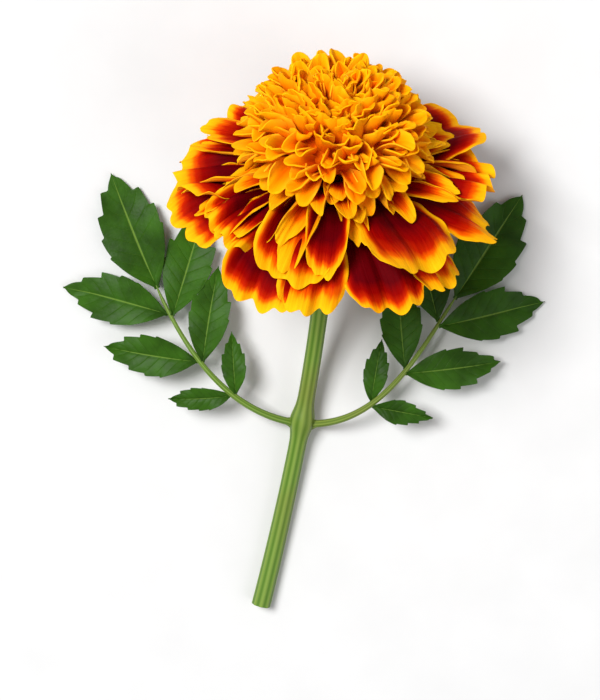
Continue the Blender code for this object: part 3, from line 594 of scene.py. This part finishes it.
class Nodes:
    """Short names for the shader nodes that the materials here are made of."""

    def __init__(self, name):
        self.material = bpy.data.materials.new(name)
        self.material.use_nodes = True
        self.tree = self.material.node_tree
        self.shader = self.tree.nodes["Principled BSDF"]

    def link(self, source, target):
        self.tree.links.new(source, target)

    def node(self, kind, **settings):
        made = self.tree.nodes.new(kind)
        for key, value in settings.items():
            setattr(made, key, value)
        return made

    def put(self, socket, value):
        """Feed a socket from another node's output, or set its value."""
        if isinstance(value, bpy.types.NodeSocket):
            self.link(value, socket)
        else:
            socket.default_value = value

    def math(self, operation, *values):
        made = self.node("ShaderNodeMath", operation=operation)
        for socket, value in zip(made.inputs, values):
            self.put(socket, value)
        return made.outputs[0]

    def times(self, first, second):
        return self.math("MULTIPLY", first, second)

    def plus(self, first, second):
        return self.math("ADD", first, second)

    def minus(self, first, second):
        return self.math("SUBTRACT", first, second)

    def from_rib(self, across):
        """0 at a blade's middle, 1 at its margins."""
        return self.math("ABSOLUTE", self.math("MULTIPLY_ADD", across, 2.0, -1.0))

    def stripes(self, across, count):
        """A number of soft stripes round a body, from 0 to 1."""
        wave = self.math("COSINE", self.times(across, 2 * math.pi * count))
        return self.math("MULTIPLY_ADD", wave, 0.5, 0.5)

    def mix(self, share, first, second, blend="MIX"):
        """Two colours mixed. The node's sockets for colours are its inputs 6 and 7, and output 2."""
        made = self.node("ShaderNodeMix", data_type="RGBA", blend_type=blend)
        self.put(made.inputs[0], share)
        for socket, value in zip((made.inputs[6], made.inputs[7]), (first, second)):
            self.put(socket, (*value, 1) if isinstance(value, tuple) else value)
        return made.outputs[2]

    def ramp(self, value, *stops):
        """A colour read off stops, each a place and a colour."""
        made = self.node("ShaderNodeValToRGB")
        self.put(made.inputs[0], value)
        elements = made.color_ramp.elements
        elements[0].position, elements[0].color = stops[0][0], (*stops[0][1], 1)
        elements[1].position, elements[1].color = stops[-1][0], (*stops[-1][1], 1)
        for position, colour in stops[1:-1]:
            elements.new(position).color = (*colour, 1)
        return made.outputs[0]

    def attribute(self, name):
        return self.node("ShaderNodeAttribute", attribute_name=name).outputs["Fac"]

    def noise(self, vector, scale, detail=3.0, roughness=0.5):
        made = self.node("ShaderNodeTexNoise")
        self.put(made.inputs["Vector"], vector)
        made.inputs["Scale"].default_value = scale
        made.inputs["Detail"].default_value = detail
        made.inputs["Roughness"].default_value = roughness
        return made.outputs[0]

    def stretched(self, vector, scale):
        """A place scaled by axis, for grain that runs one way."""
        made = self.node("ShaderNodeMapping")
        self.put(made.inputs["Vector"], vector)
        made.inputs["Scale"].default_value = scale
        return made.outputs[0]

    def blade_place(self):
        """The blade's UV map, and its two shares: across (0 to 1) and along."""
        uv = self.node("ShaderNodeUVMap", uv_map="blade").outputs[0]
        split = self.node("ShaderNodeSeparateXYZ")
        self.link(uv, split.inputs[0])
        return uv, split.outputs[0], split.outputs[1]

    def object_place(self):
        return self.node("ShaderNodeTexCoord").outputs["Object"]

    def bump(self, height, strength, distance):
        made = self.node("ShaderNodeBump")
        self.put(made.inputs["Height"], height)
        made.inputs["Strength"].default_value = strength
        made.inputs["Distance"].default_value = distance
        self.link(made.outputs[0], self.shader.inputs["Normal"])

    def finish(self, colour, roughness, specular):
        self.put(self.shader.inputs["Base Color"], colour)
        self.put(self.shader.inputs["Roughness"], roughness)
        self.shader.inputs["Specular IOR Level"].default_value = specular
        return self.material


def petal_veins(nodes, uv, across_scale=30.0):
    """Fine veins along a petal, as a height."""
    streaks = nodes.noise(nodes.stretched(uv, (across_scale, 1.2, 1.0)), 1.0, 2.0)
    grain = nodes.noise(nodes.stretched(uv, (140.0, 60.0, 1.0)), 1.0, 2.0)
    return nodes.plus(streaks, nodes.times(grain, 0.25))


def margin_share(nodes, across, along):
    """0 at a petal's margin, rising inwards: about 1 where the yellow rim ends."""
    side_width = nodes.math("MULTIPLY_ADD", along, 0.12, 0.03)
    side = nodes.math("DIVIDE", nodes.minus(1.0, nodes.from_rib(across)), side_width)
    tip = nodes.math("DIVIDE", nodes.minus(1.0, along), 0.1)
    nearest = nodes.math("SMOOTH_MIN", side, tip, 0.5)
    return nodes.math("DIVIDE", nearest, nodes.attribute("rim"))


# Colours from a ray's margin inwards.
RAY_COLOURS = (
    (0.0, (1.0, 0.5, 0.004)),
    (0.18, (1.0, 0.38, 0.002)),
    (0.3, (0.8, 0.1, 0.0)),
    (0.42, (0.5, 0.014, 0.0)),
    (0.62, (0.27, 0.001, 0.0)),
    (1.0, (0.11, 0.0, 0.002)),
)
RAY_UNDER_COLOURS = (
    (0.0, (0.95, 0.42, 0.012)),
    (0.3, (0.9, 0.28, 0.008)),
    (0.55, (0.62, 0.08, 0.006)),
    (1.0, (0.36, 0.02, 0.006)),
)
# Colours of a crest floret from root to tip: of the duller ones and of the brighter ones. The darkest
# colours at the root are partly painted shade deep between the florets, partly their redder root.
CREST_COLOURS = (
    (0.0, (0.16, 0.002, 0.0)),
    (0.35, (0.55, 0.05, 0.0)),
    (0.65, (0.95, 0.25, 0.0)),
    (1.0, (1.0, 0.42, 0.001)),
)
CREST_BRIGHT_COLOURS = (
    (0.0, (0.35, 0.015, 0.0)),
    (0.4, (0.94, 0.27, 0.0)),
    (1.0, (1.0, 0.52, 0.002)),
)


def ray_material(name, under):
    """A velvety crimson petal with a feathered golden-yellow margin; duller and more orange below."""
    nodes = Nodes(name)
    uv, across, along = nodes.blade_place()
    margin = margin_share(nodes, across, along)
    feather = nodes.noise(nodes.stretched(uv, (16.0, 2.6, 1.0)), 1.0, 3.0, 0.6)
    blotch = nodes.noise(nodes.object_place(), 130.0, 2.0)
    uneven = nodes.plus(nodes.minus(feather, 0.5), nodes.minus(blotch, 0.5))
    margin = nodes.plus(margin, nodes.times(uneven, 1.2))
    stops = RAY_UNDER_COLOURS if under else RAY_COLOURS
    colour = nodes.ramp(nodes.times(margin, 0.3), *stops)
    veins = petal_veins(nodes, uv)
    darker = nodes.ramp(veins, (0.35, (0.72, 0.72, 0.72)), (0.75, (1.0, 1.0, 1.0)))
    colour = nodes.mix(0.6, colour, darker, "MULTIPLY")
    nodes.bump(veins, 0.5, 0.4 * MM)
    roughness = nodes.math("MULTIPLY_ADD", veins, 0.15, 0.48)
    return nodes.finish(colour, roughness, 0.02)


def crest_material(name, under):
    """Golden orange petals: redder at the root, yellower at the tip and rim, each a little different.
    The darker root and hollow middle are partly painted shade, the lighter rim partly a painted
    highlight.
    """
    nodes = Nodes(name)
    uv, across, along = nodes.blade_place()
    tone = nodes.attribute("tone")
    dull, bright = nodes.ramp(along, *CREST_COLOURS), nodes.ramp(along, *CREST_BRIGHT_COLOURS)
    colour = nodes.mix(tone, dull, bright)
    side = nodes.from_rib(across)
    # Painted shade: darker red down each floret's hollow middle and towards its root, partly its own
    # redder root.
    trough_shade_and_red = nodes.times(nodes.minus(1.0, side), nodes.minus(1.2, along))
    colour = nodes.mix(nodes.times(trough_shade_and_red, 0.7), colour, (0.74, 0.1, 0.0))
    # Painted highlight on each floret's raised side edges, partly its own paler margin.
    rim = nodes.math("POWER", side, 5.0)
    colour = nodes.mix(nodes.times(rim, 0.55), colour, (1.0, 0.5, 0.02))
    veins = petal_veins(nodes, uv, 12.0)
    darker = nodes.ramp(veins, (0.35, (0.78, 0.7, 0.6)), (0.7, (1.0, 1.0, 1.0)))
    colour = nodes.mix(0.5, colour, darker, "MULTIPLY")
    if under:
        colour = nodes.mix(0.2, colour, (0.95, 0.3, 0.003))
    nodes.bump(veins, 0.3, 0.2 * MM)
    return nodes.finish(colour, 0.55, 0.03)


def depth_material():
    """The receptacle and the crest's core, seen only deep between florets."""
    nodes = Nodes("floret_bases")
    grain = nodes.noise(nodes.object_place(), 900.0, 3.0)
    colour = nodes.ramp(grain, (0.3, (0.5, 0.045, 0.0)), (0.7, (0.85, 0.17, 0.0)))
    nodes.bump(grain, 0.6, 0.4 * MM)
    return nodes.finish(colour, 0.7, 0.02)


def leaf_material(name, under):
    """A dark green blade with a pale rib, fainter side veins and small oil glands; paler below."""
    nodes = Nodes(name)
    _, across, along = nodes.blade_place()
    side = nodes.from_rib(across)
    cloud = nodes.noise(nodes.object_place(), 160.0, 3.0)
    fine = nodes.noise(nodes.object_place(), 1400.0, 2.0)
    if under:
        blade = nodes.ramp(cloud, (0.35, (0.09, 0.19, 0.045)), (0.65, (0.14, 0.26, 0.06)))
    else:
        blade = nodes.ramp(cloud, (0.32, (0.014, 0.045, 0.003)), (0.68, (0.034, 0.112, 0.006)))
    blade = nodes.mix(nodes.times(fine, 0.25), blade, (0.045, 0.13, 0.01))
    slanted = nodes.minus(along, nodes.times(side, LEAFLET_VEIN_SLANT))
    saw = nodes.math("FRACT", nodes.times(slanted, LEAFLET_VEINS))
    from_vein = nodes.math("ABSOLUTE", nodes.minus(saw, 0.5))
    vein = nodes.math("MAXIMUM", nodes.minus(1.0, nodes.times(from_vein, 14.0)), 0.0)
    vein = nodes.times(vein, nodes.minus(1.0, nodes.math("POWER", side, 2.0)))
    rib = nodes.math("MAXIMUM", nodes.minus(1.0, nodes.times(side, 20.0)), 0.0)
    colour = nodes.mix(nodes.times(vein, 0.22), blade, (0.06, 0.145, 0.015))
    pale = nodes.math("MINIMUM", nodes.times(rib, 1.4), 0.8)
    colour = nodes.mix(pale, colour, (0.15, 0.26, 0.04))
    height = nodes.plus(nodes.times(nodes.plus(vein, rib), -0.5), nodes.times(fine, 0.3))
    nodes.bump(height, 0.5, 0.4 * MM)
    roughness = nodes.math("MULTIPLY_ADD", cloud, 0.2, 0.5 if under else 0.34)
    return nodes.finish(colour, roughness, 0.1)


def stem_material():
    """Fresh green, paler along the ridges, with a warm flush in patches."""
    nodes = Nodes("stem_green")
    uv, across, _ = nodes.blade_place()
    ridge = nodes.stripes(across, STALK_RIDGES)
    streak = nodes.noise(nodes.stretched(uv, (60.0, 5.0, 1.0)), 1.0, 3.0)
    colour = nodes.mix(ridge, (0.07, 0.16, 0.014), (0.22, 0.32, 0.06))
    colour = nodes.mix(nodes.times(streak, 0.5), colour, (0.1, 0.2, 0.02))
    patch = nodes.noise(nodes.object_place(), 45.0, 2.0)
    flush = nodes.ramp(patch, (0.5, (0.0, 0.0, 0.0)), (0.75, (1.0, 1.0, 1.0)))
    colour = nodes.mix(nodes.times(flush, 0.35), colour, (0.2, 0.1, 0.03))
    nodes.bump(nodes.plus(ridge, streak), 0.3, 0.2 * MM)
    return nodes.finish(colour, 0.42, 0.18)


def cup_material():
    """Waxy yellow-green, striped by the bracts' ribs and flushed brown towards the rim."""
    nodes = Nodes("cup_green")
    uv, across, along = nodes.blade_place()
    stripe = nodes.stripes(across, BRACTS)
    streak = nodes.noise(nodes.stretched(uv, (90.0, 4.0, 1.0)), 1.0, 3.0)
    colour = nodes.mix(stripe, (0.16, 0.24, 0.03), (0.3, 0.36, 0.055))
    colour = nodes.mix(nodes.times(streak, 0.6), colour, (0.12, 0.2, 0.02))
    height = nodes.plus(along, nodes.times(streak, 0.25))
    rising = nodes.times(nodes.minus(height, 0.72), 2.6)
    flush = nodes.math("MINIMUM", nodes.math("MAXIMUM", rising, 0.0), 0.75)
    colour = nodes.mix(flush, colour, (0.17, 0.06, 0.018))
    nodes.bump(streak, 0.35, 0.2 * MM)
    return nodes.finish(colour, 0.38, 0.2)


def cut_material():
    """The cut end: pale moist pith in a green skin."""
    nodes = Nodes("cut_pith")
    cells = nodes.noise(nodes.object_place(), 2600.0, 2.0)
    colour = nodes.ramp(cells, (0.35, (0.5, 0.55, 0.28)), (0.7, (0.72, 0.74, 0.48)))
    nodes.bump(cells, 0.5, 0.2 * MM)
    return nodes.finish(colour, 0.35, 0.45)


# ---- pieces ----

def make_petals():
    """All florets: four whorls of rays and the crest."""
    ray_faces = (ray_material("ray_velvet", False), ray_material("ray_underside", True))
    draw = draws(RAY_SEED)
    # Name, florets, steps, and the level that they stay under.
    whorls = (
        ("lower_rays", lower_rays, BROAD_RAY_STEPS, DIVIDE_LEVEL),
        ("upper_rays", upper_rays, BROAD_RAY_STEPS, DIVIDE_LEVEL),
        ("inner_rays", inner_rays, INNER_RAY_STEPS, DIVIDE_LEVEL),
        ("spoon_rays", spoon_rays, SPOON_RAY_STEPS, SPOON_LEVEL),
    )
    for name, whorl, steps, level in whorls:
        sheets = Sheets()
        for floret in whorl(draw):
            grid, shares = floret_grid(floret, *steps)
            grid = bent_over_table(to_table(under_level(grid, level)), PRESSED_HEIGHT)
            sheets.add(grid, shares, PETAL_THICKNESS, floret.tone, floret.rim)
        sheets.build(name, "ray_florets", ray_faces)
    crest = Sheets()
    for floret in crest_florets(draws(CREST_SEED)):
        grid, shares = floret_grid(floret, *CREST_FLORET_STEPS)
        crest.add(to_table(grid), shares, CREST_FLORET_THICKNESS, floret.tone, edge=0.5)
    crest_faces = (crest_material("crest_gold", False), crest_material("crest_underside", True))
    crest.build("crest_petals", "crest_florets", crest_faces)


def lathe(name, rings, material, node):
    """Make a closed body from rings of points, its UV map running round it and along it."""
    rings = np.array(rings)
    levels, sides = rings.shape[:2]
    ends = [rings[0].mean(0), rings[-1].mean(0)]
    points = np.concatenate([rings.reshape(-1, 3), ends])
    faces, places = [], []
    for level in range(levels - 1):
        for side in range(sides):
            a, b = level * sides + side, level * sides + (side + 1) % sides
            faces.append((a, b, b + sides, a + sides))
            left, right = side / sides, (side + 1) / sides
            low, high = level / (levels - 1), (level + 1) / (levels - 1)
            places += [(left, low), (right, low), (right, high), (left, high)]
    last = (levels - 1) * sides
    for side in range(sides):
        after = (side + 1) % sides
        middle = (side + 0.5) / sides
        faces.append((after, side, levels * sides))
        places += [(middle, 0), (middle, 0), (middle, 0)]
        faces.append((last + side, last + after, levels * sides + 1))
        places += [(middle, 1), (middle, 1), (middle, 1)]
    mesh = bpy.data.meshes.new(name)
    mesh.from_pydata(points.tolist(), [], faces)
    layer = mesh.uv_layers.new(name="blade")
    layer.data.foreach_set("uv", np.array(places, np.float32).ravel())
    mesh.shade_smooth()
    mesh.set_sharp_from_angle(angle=60 * DEGREE)
    mesh.materials.append(material)
    add_piece(name, mesh, node)


def circle(radius, height):
    """A ring of points round the bloom's axis."""
    angles = np.arange(TURNED_SIDES) * 2 * math.pi / TURNED_SIDES
    return [(radius * math.cos(angle), radius * math.sin(angle), height) for angle in angles]


def make_bases():
    """The receptacle under the rays, and the crest's core."""
    depth = depth_material()
    receptacle = [circle(radius * MM, height * MM) for height, radius in RECEPTACLE_PROFILE]
    lathe("receptacle", to_table(receptacle), depth, "ray_florets")
    core = [circle(radius * MM, height * MM) for height, radius in CORE_FOOT_PROFILE]
    for polar in np.arange(90, 4, -9) * DEGREE:
        height = CREST_LEVEL + CREST_RISE * math.cos(polar)
        core.append(circle(CREST_RADIUS * math.sin(polar), height))
    lathe("crest_core", to_table(core), depth, "crest_florets")


def make_cup():
    """The involucre: joined bracts with their ribs, and a pointed tooth where each one ends."""
    angles = np.arange(CUP_SIDES) * 2 * math.pi / CUP_SIDES
    wave = np.cos(BRACTS * angles)
    groove = np.exp(-((np.abs(np.sin(BRACTS * angles / 2)) - 1) / 0.05) ** 2)
    rings = []
    for height, radius in CUP_PROFILE:
        swell = BRACT_RELIEF * min(1, (height - CUP_PROFILE[0][0]) / BRACT_RELIEF_RISE)
        r = radius * MM + swell * wave - 0.35 * swell * groove
        level = np.full(CUP_SIDES, height * MM)
        rings.append(np.stack([r * np.cos(angles), r * np.sin(angles), level], axis=1))
    tooth = (0.5 + 0.5 * wave) ** 0.8
    rim_level = CUP_PROFILE[-1][0] * MM
    for radius, share in CUP_LIP:
        level = rim_level + (BRACT_TOOTH - BRACT_HOLLOW * (1 - tooth)) * share
        x, y = radius * MM * np.cos(angles), radius * MM * np.sin(angles)
        rings.append(np.stack([x, y, level], axis=1))
    lathe("cup", to_table(rings), cup_material(), "involucre")


def curve_points(start, leave, end, arrive, count):
    """Points of the smooth curve that leaves start along one vector and reaches end along another."""
    points = []
    for share in np.linspace(0, 1, count):
        t = float(share)
        point = start * (2 * t**3 - 3 * t**2 + 1) + leave * (t**3 - 2 * t**2 + t)
        points.append(point + end * (3 * t**2 - 2 * t**3) + arrive * (t**3 - t**2))
    return points


def stalk_line(count):
    """The stalk's middle line from under the involucre to the cut."""
    start = BLOOM_FRAME @ Vector((0, 0, INVOLUCRE_NECK - GAP))
    axis = (BLOOM_FRAME.to_3x3() @ Vector((0, 0, 1))).normalized()
    end = Vector((start.x + STALK_DRIFT, start.y - STALK_REACH, STALK_RADIUS_CUT - STALK_SUNK))
    arrive = Vector((-0.16, -1, 0.02)) * STALK_REACH
    return curve_points(start, -axis * STALK_REACH * 1.1, end, arrive, count)


def stalk_radius(share):
    """Radius of the stalk at a share of the way to its cut, with its swellings."""
    radius = STALK_RADIUS + (STALK_RADIUS_TOP - STALK_RADIUS) * math.exp(-((share / 0.1) ** 2))
    radius += (STALK_RADIUS_CUT - STALK_RADIUS) * share**2
    return radius + NODE_SWELL * math.exp(-(((share - NODE_SHARE) / NODE_WIDTH) ** 2))


def tube_rings(line, radii, sides, ridge=0.0):
    """Rings of points along a line, with the stalk's ridges where they have a height."""
    rings = []
    angles = np.arange(sides) * 2 * math.pi / sides
    for k, centre in enumerate(line):
        forward = (line[min(k + 1, len(line) - 1)] - line[max(k - 1, 0)]).normalized()
        across = forward.cross(Vector((0, 0, 1))).normalized()
        over = across.cross(forward)
        r = radii[k] + ridge * np.cos(STALK_RIDGES * angles)
        ring = np.outer(np.cos(angles) * r, across) + np.outer(np.sin(angles) * r, over)
        rings.append(ring + np.array(centre))
    return rings


def above_table(rings, height=0.0):
    """Rings with what would be under a height pressed flat."""
    low = np.array([-np.inf, -np.inf, height])
    return [np.maximum(ring, low) for ring in rings]


def make_stalk(stem):
    """The stalk with its ridges and swollen joint, and the pale cut at its end."""
    line = stalk_line(STALK_STATIONS)
    radii = [stalk_radius(k / (STALK_STATIONS - 1)) for k in range(STALK_STATIONS)]
    # The stalk's top is sunk in the cup, over the gap that the part leaves there.
    line.insert(0, line[0] + (line[0] - line[1]).normalized() * 4 * GAP)
    radii.insert(0, radii[0])
    rings = above_table(tube_rings(line, radii, STALK_SIDES, STALK_RIDGE_HEIGHT))
    lathe("stalk", rings, stem, "peduncle")
    forward = (line[-1] - line[-2]).normalized()
    cut_line = [line[-1] + forward * step * MM for step, _ in CUT_RINGS]
    cut_radii = [radii[-1] * share for _, share in CUT_RINGS]
    cut = above_table(tube_rings(cut_line, cut_radii, CUT_SIDES), CUT_CLEARANCE)
    lathe("stalk_cut", cut, cut_material(), "peduncle")


def leaf_line(side, count):
    """The middle line of a leaf's rib: out from the stalk's joint, arching, and down to the table."""
    joint = stalk_line(STALK_RINGS)[round(NODE_SHARE * (STALK_RINGS - 1))]
    start = joint + Vector((side * (stalk_radius(NODE_SHARE) + GAP + LEAF_SETBACK), 0, 0))
    spread = LEAF_SPREAD + side * LEAF_LOPSIDED
    end = joint + Vector((side * math.cos(spread), math.sin(spread), 0)) * LEAF_LENGTH
    end.z = LEAF_TIP_HEIGHT
    leave = Vector((side, 0.25, 0.5)) * LEAF_LENGTH
    arrive = Vector((side * 0.45, 0.8, -0.2)) * LEAF_LENGTH
    return curve_points(start, leave, end, arrive, count)


def leaflet_grid(root, heading, up, length, half_width, phase):
    """The middle surface of a toothed leaflet, with its shares across and along."""
    s, v = share_grid(*LEAFLET_STEPS)
    shares = np.stack([v, s], axis=-1)
    outline = np.sin(math.pi * s**0.87) ** 1.15
    outline = np.maximum(outline, 0.07 * (1 - s) ** 8 + 0.015)
    tooth = s * LEAFLET_TEETH + phase * np.sign(v) * 0.3
    along_tooth = tooth % 1.0
    rising, falling = along_tooth / LEAFLET_TOOTH_PEAK, (1 - along_tooth) / (1 - LEAFLET_TOOTH_PEAK)
    strength = smooth_step(s, 0.22, 0.45) * smooth_step(1 - s, 0.0, 0.14)
    strength = strength * (0.8 + 0.3 * np.sin(2.4 * np.floor(tooth) + phase))
    saw = np.where(along_tooth < LEAFLET_TOOTH_PEAK, rising, falling) * strength
    side = half_width * (outline + 0.16 * saw * np.abs(v) ** 4) * v
    along = length * (s + 0.04 * saw * np.abs(v) ** 6)
    lift = np.abs(side) * LEAFLET_FOLD - LEAFLET_DROOP * s**2
    lift = lift + 0.6 * MM * np.sin(2 * math.pi * 1.5 * s + phase + np.sign(v)) * v**2
    from_vein = (s - LEAFLET_VEIN_SLANT * np.abs(v)) * LEAFLET_VEINS % 1.0 - 0.5
    lift = lift - 0.08 * MM * np.exp(-((from_vein / 0.12) ** 2)) * (1 - np.abs(v) ** 3)
    lift = lift - 0.14 * MM * np.exp(-((side / (0.3 * MM)) ** 2))
    side = side + 0.05 * length * math.sin(2 * phase) * s**2
    across = np.array(up.cross(heading).normalized())
    grid = np.array(root) + along[..., None] * np.array(heading)
    grid = grid + side[..., None] * across + lift[..., None] * np.array(up)
    return grid, shares


def along_rib(line, share):
    """A point of a leaf's rib at a share of its length, and the ways forward, across and up there."""
    place = share * (len(line) - 1)
    low = min(int(place), len(line) - 2)
    forward = (line[low + 1] - line[low]).normalized()
    across = forward.cross(Vector((0, 0, 1))).normalized()
    return line[low].lerp(line[low + 1], place - low), forward, across, across.cross(forward)


def make_leaf(name, side, node, materials, stem):
    """One leaf: its rib with a foot in the stalk's joint, and its toothed leaflets."""
    line = leaf_line(side, LEAF_STATIONS)
    back = (line[0] - line[1]).normalized()
    foot = [line[0] + back * depth for depth, _ in LEAF_FOOT]
    radii = [radius for _, radius in LEAF_FOOT]
    for k in range(LEAF_STATIONS):
        tip = smooth_step(k, LEAF_STATIONS - 8, LEAF_STATIONS)
        radii.append(LEAF_RIB_RADIUS * (1.25 - 0.7 * k / (LEAF_STATIONS - 1) - 0.4 * tip))
    rings = tube_rings(foot + line, radii, LEAF_RIB_SIDES)
    lathe(name + "_rib", rings, stem, node)

    sheets = Sheets()
    draw = draws(LEAF_SEED + side)

    def add_leaflet(start, heading, up, length, half_width):
        grid, shares = leaflet_grid(start, heading, up, length * MM, half_width * MM, draw(1.5))
        sheets.add(bent_over_table(grid, LEAF_CLEARANCE), shares, LEAF_THICKNESS)

    for place, length, half_width in LEAFLET_PAIRS:
        root, forward, across, up = along_rib(line, place)
        for hand in (-1, 1):
            heading = forward * math.cos(LEAFLET_ANGLE) + across * hand * math.sin(LEAFLET_ANGLE)
            start = root + (across - forward) * hand * LEAFLET_STAGGER
            add_leaflet(start, heading.normalized(), up, length, half_width)
    place, length, half_width = LEAFLET_TIP
    root, forward, across, up = along_rib(line, place)
    level = Vector((forward.x, forward.y, 0)).normalized()
    add_leaflet(root, (level + forward).normalized(), up, length, half_width)
    sheets.build(name, node, materials)


# ---- stage ----

def make_floor():
    """A pale floor under the flower."""
    nodes = Nodes("pale_floor")
    grain = nodes.noise(nodes.object_place(), 60.0, 3.0)
    paper = nodes.ramp(grain, (0.3, (0.7, 0.7, 0.7)), (0.7, (0.73, 0.73, 0.73)))
    mesh = bpy.data.meshes.new("floor")
    corners = [(x * FLOOR_REACH, y * FLOOR_REACH, 0) for x, y in ((-1, -1), (1, -1), (1, 1), (-1, 1))]
    mesh.from_pydata(corners, [], [(0, 1, 2, 3)])
    mesh.materials.append(nodes.finish(paper, 0.75, 0.2))
    floor = bpy.data.objects.new("floor", mesh)
    floor.location.z = -FLOOR_SUNK
    bpy.context.scene.collection.objects.link(floor)


def make_world():
    """A soft glow from all round, before a paler backdrop."""
    world = bpy.data.worlds.new("studio")
    bpy.context.scene.world = world
    world.use_nodes = True
    tree = world.node_tree
    glow, backdrop = tree.nodes["Background"], tree.nodes.new("ShaderNodeBackground")
    for background, strength in ((glow, GLOW), (backdrop, BACKDROP)):
        background.inputs["Color"].default_value = (1, 1, 1, 1)
        background.inputs["Strength"].default_value = strength
    seen = tree.nodes.new("ShaderNodeLightPath")
    chosen = tree.nodes.new("ShaderNodeMixShader")
    tree.links.new(seen.outputs["Is Camera Ray"], chosen.inputs[0])
    tree.links.new(glow.outputs[0], chosen.inputs[1])
    tree.links.new(backdrop.outputs[0], chosen.inputs[2])
    tree.links.new(chosen.outputs[0], tree.nodes["World Output"].inputs[0])


def make_lights(target):
    """Soft studio lights that face a target."""
    for name, place, energy, size in LIGHTS:
        light = bpy.data.objects.new(name, bpy.data.lights.new(name, "AREA"))
        light.data.energy, light.data.size = energy, size
        light.location = Vector(place)
        light.rotation_mode = "QUATERNION"
        light.rotation_quaternion = (target - light.location).to_track_quat("-Z", "Y")
        bpy.context.scene.collection.objects.link(light)


def make_camera(target):
    """The camera, looking down on the flower."""
    camera = bpy.data.objects.new("camera", bpy.data.cameras.new("camera"))
    right = Vector((1, 0, 0))
    back = Vector((0, math.cos(CAMERA_ELEVATION), math.sin(CAMERA_ELEVATION)))
    rotation = Matrix((right, back.cross(right), back)).transposed()
    rotation = rotation @ Matrix.Rotation(CAMERA_ROLL, 3, "Z")
    camera.matrix_world = Matrix.Translation(target + back * CAMERA_DISTANCE) @ rotation.to_4x4()
    camera.data.sensor_width = SENSOR_SIZE
    camera.data.lens = SENSOR_SIZE * CAMERA_DISTANCE / FRAMED_HEIGHT
    camera.data.clip_start, camera.data.clip_end = 0.01, 10
    bpy.context.scene.collection.objects.link(camera)
    bpy.context.scene.camera = camera


def make_stage():
    """The floor, the studio's light and the camera."""
    bpy.context.scene.view_settings.view_transform = "Standard"
    middle = (CAD_BOUNDS[0] + CAD_BOUNDS[1]) / 2
    make_floor()
    make_world()
    make_lights(middle)
    make_camera(middle)


make_petals()
make_bases()
make_cup()
stem = stem_material()
make_stalk(stem)
leaf_faces = (leaf_material("leaf_green", False), leaf_material("leaf_underside", True))
make_leaf("left_leaf", -1, "leaf_left", leaf_faces, stem)
make_leaf("right_leaf", 1, "leaf_right", leaf_faces, stem)
make_stage()
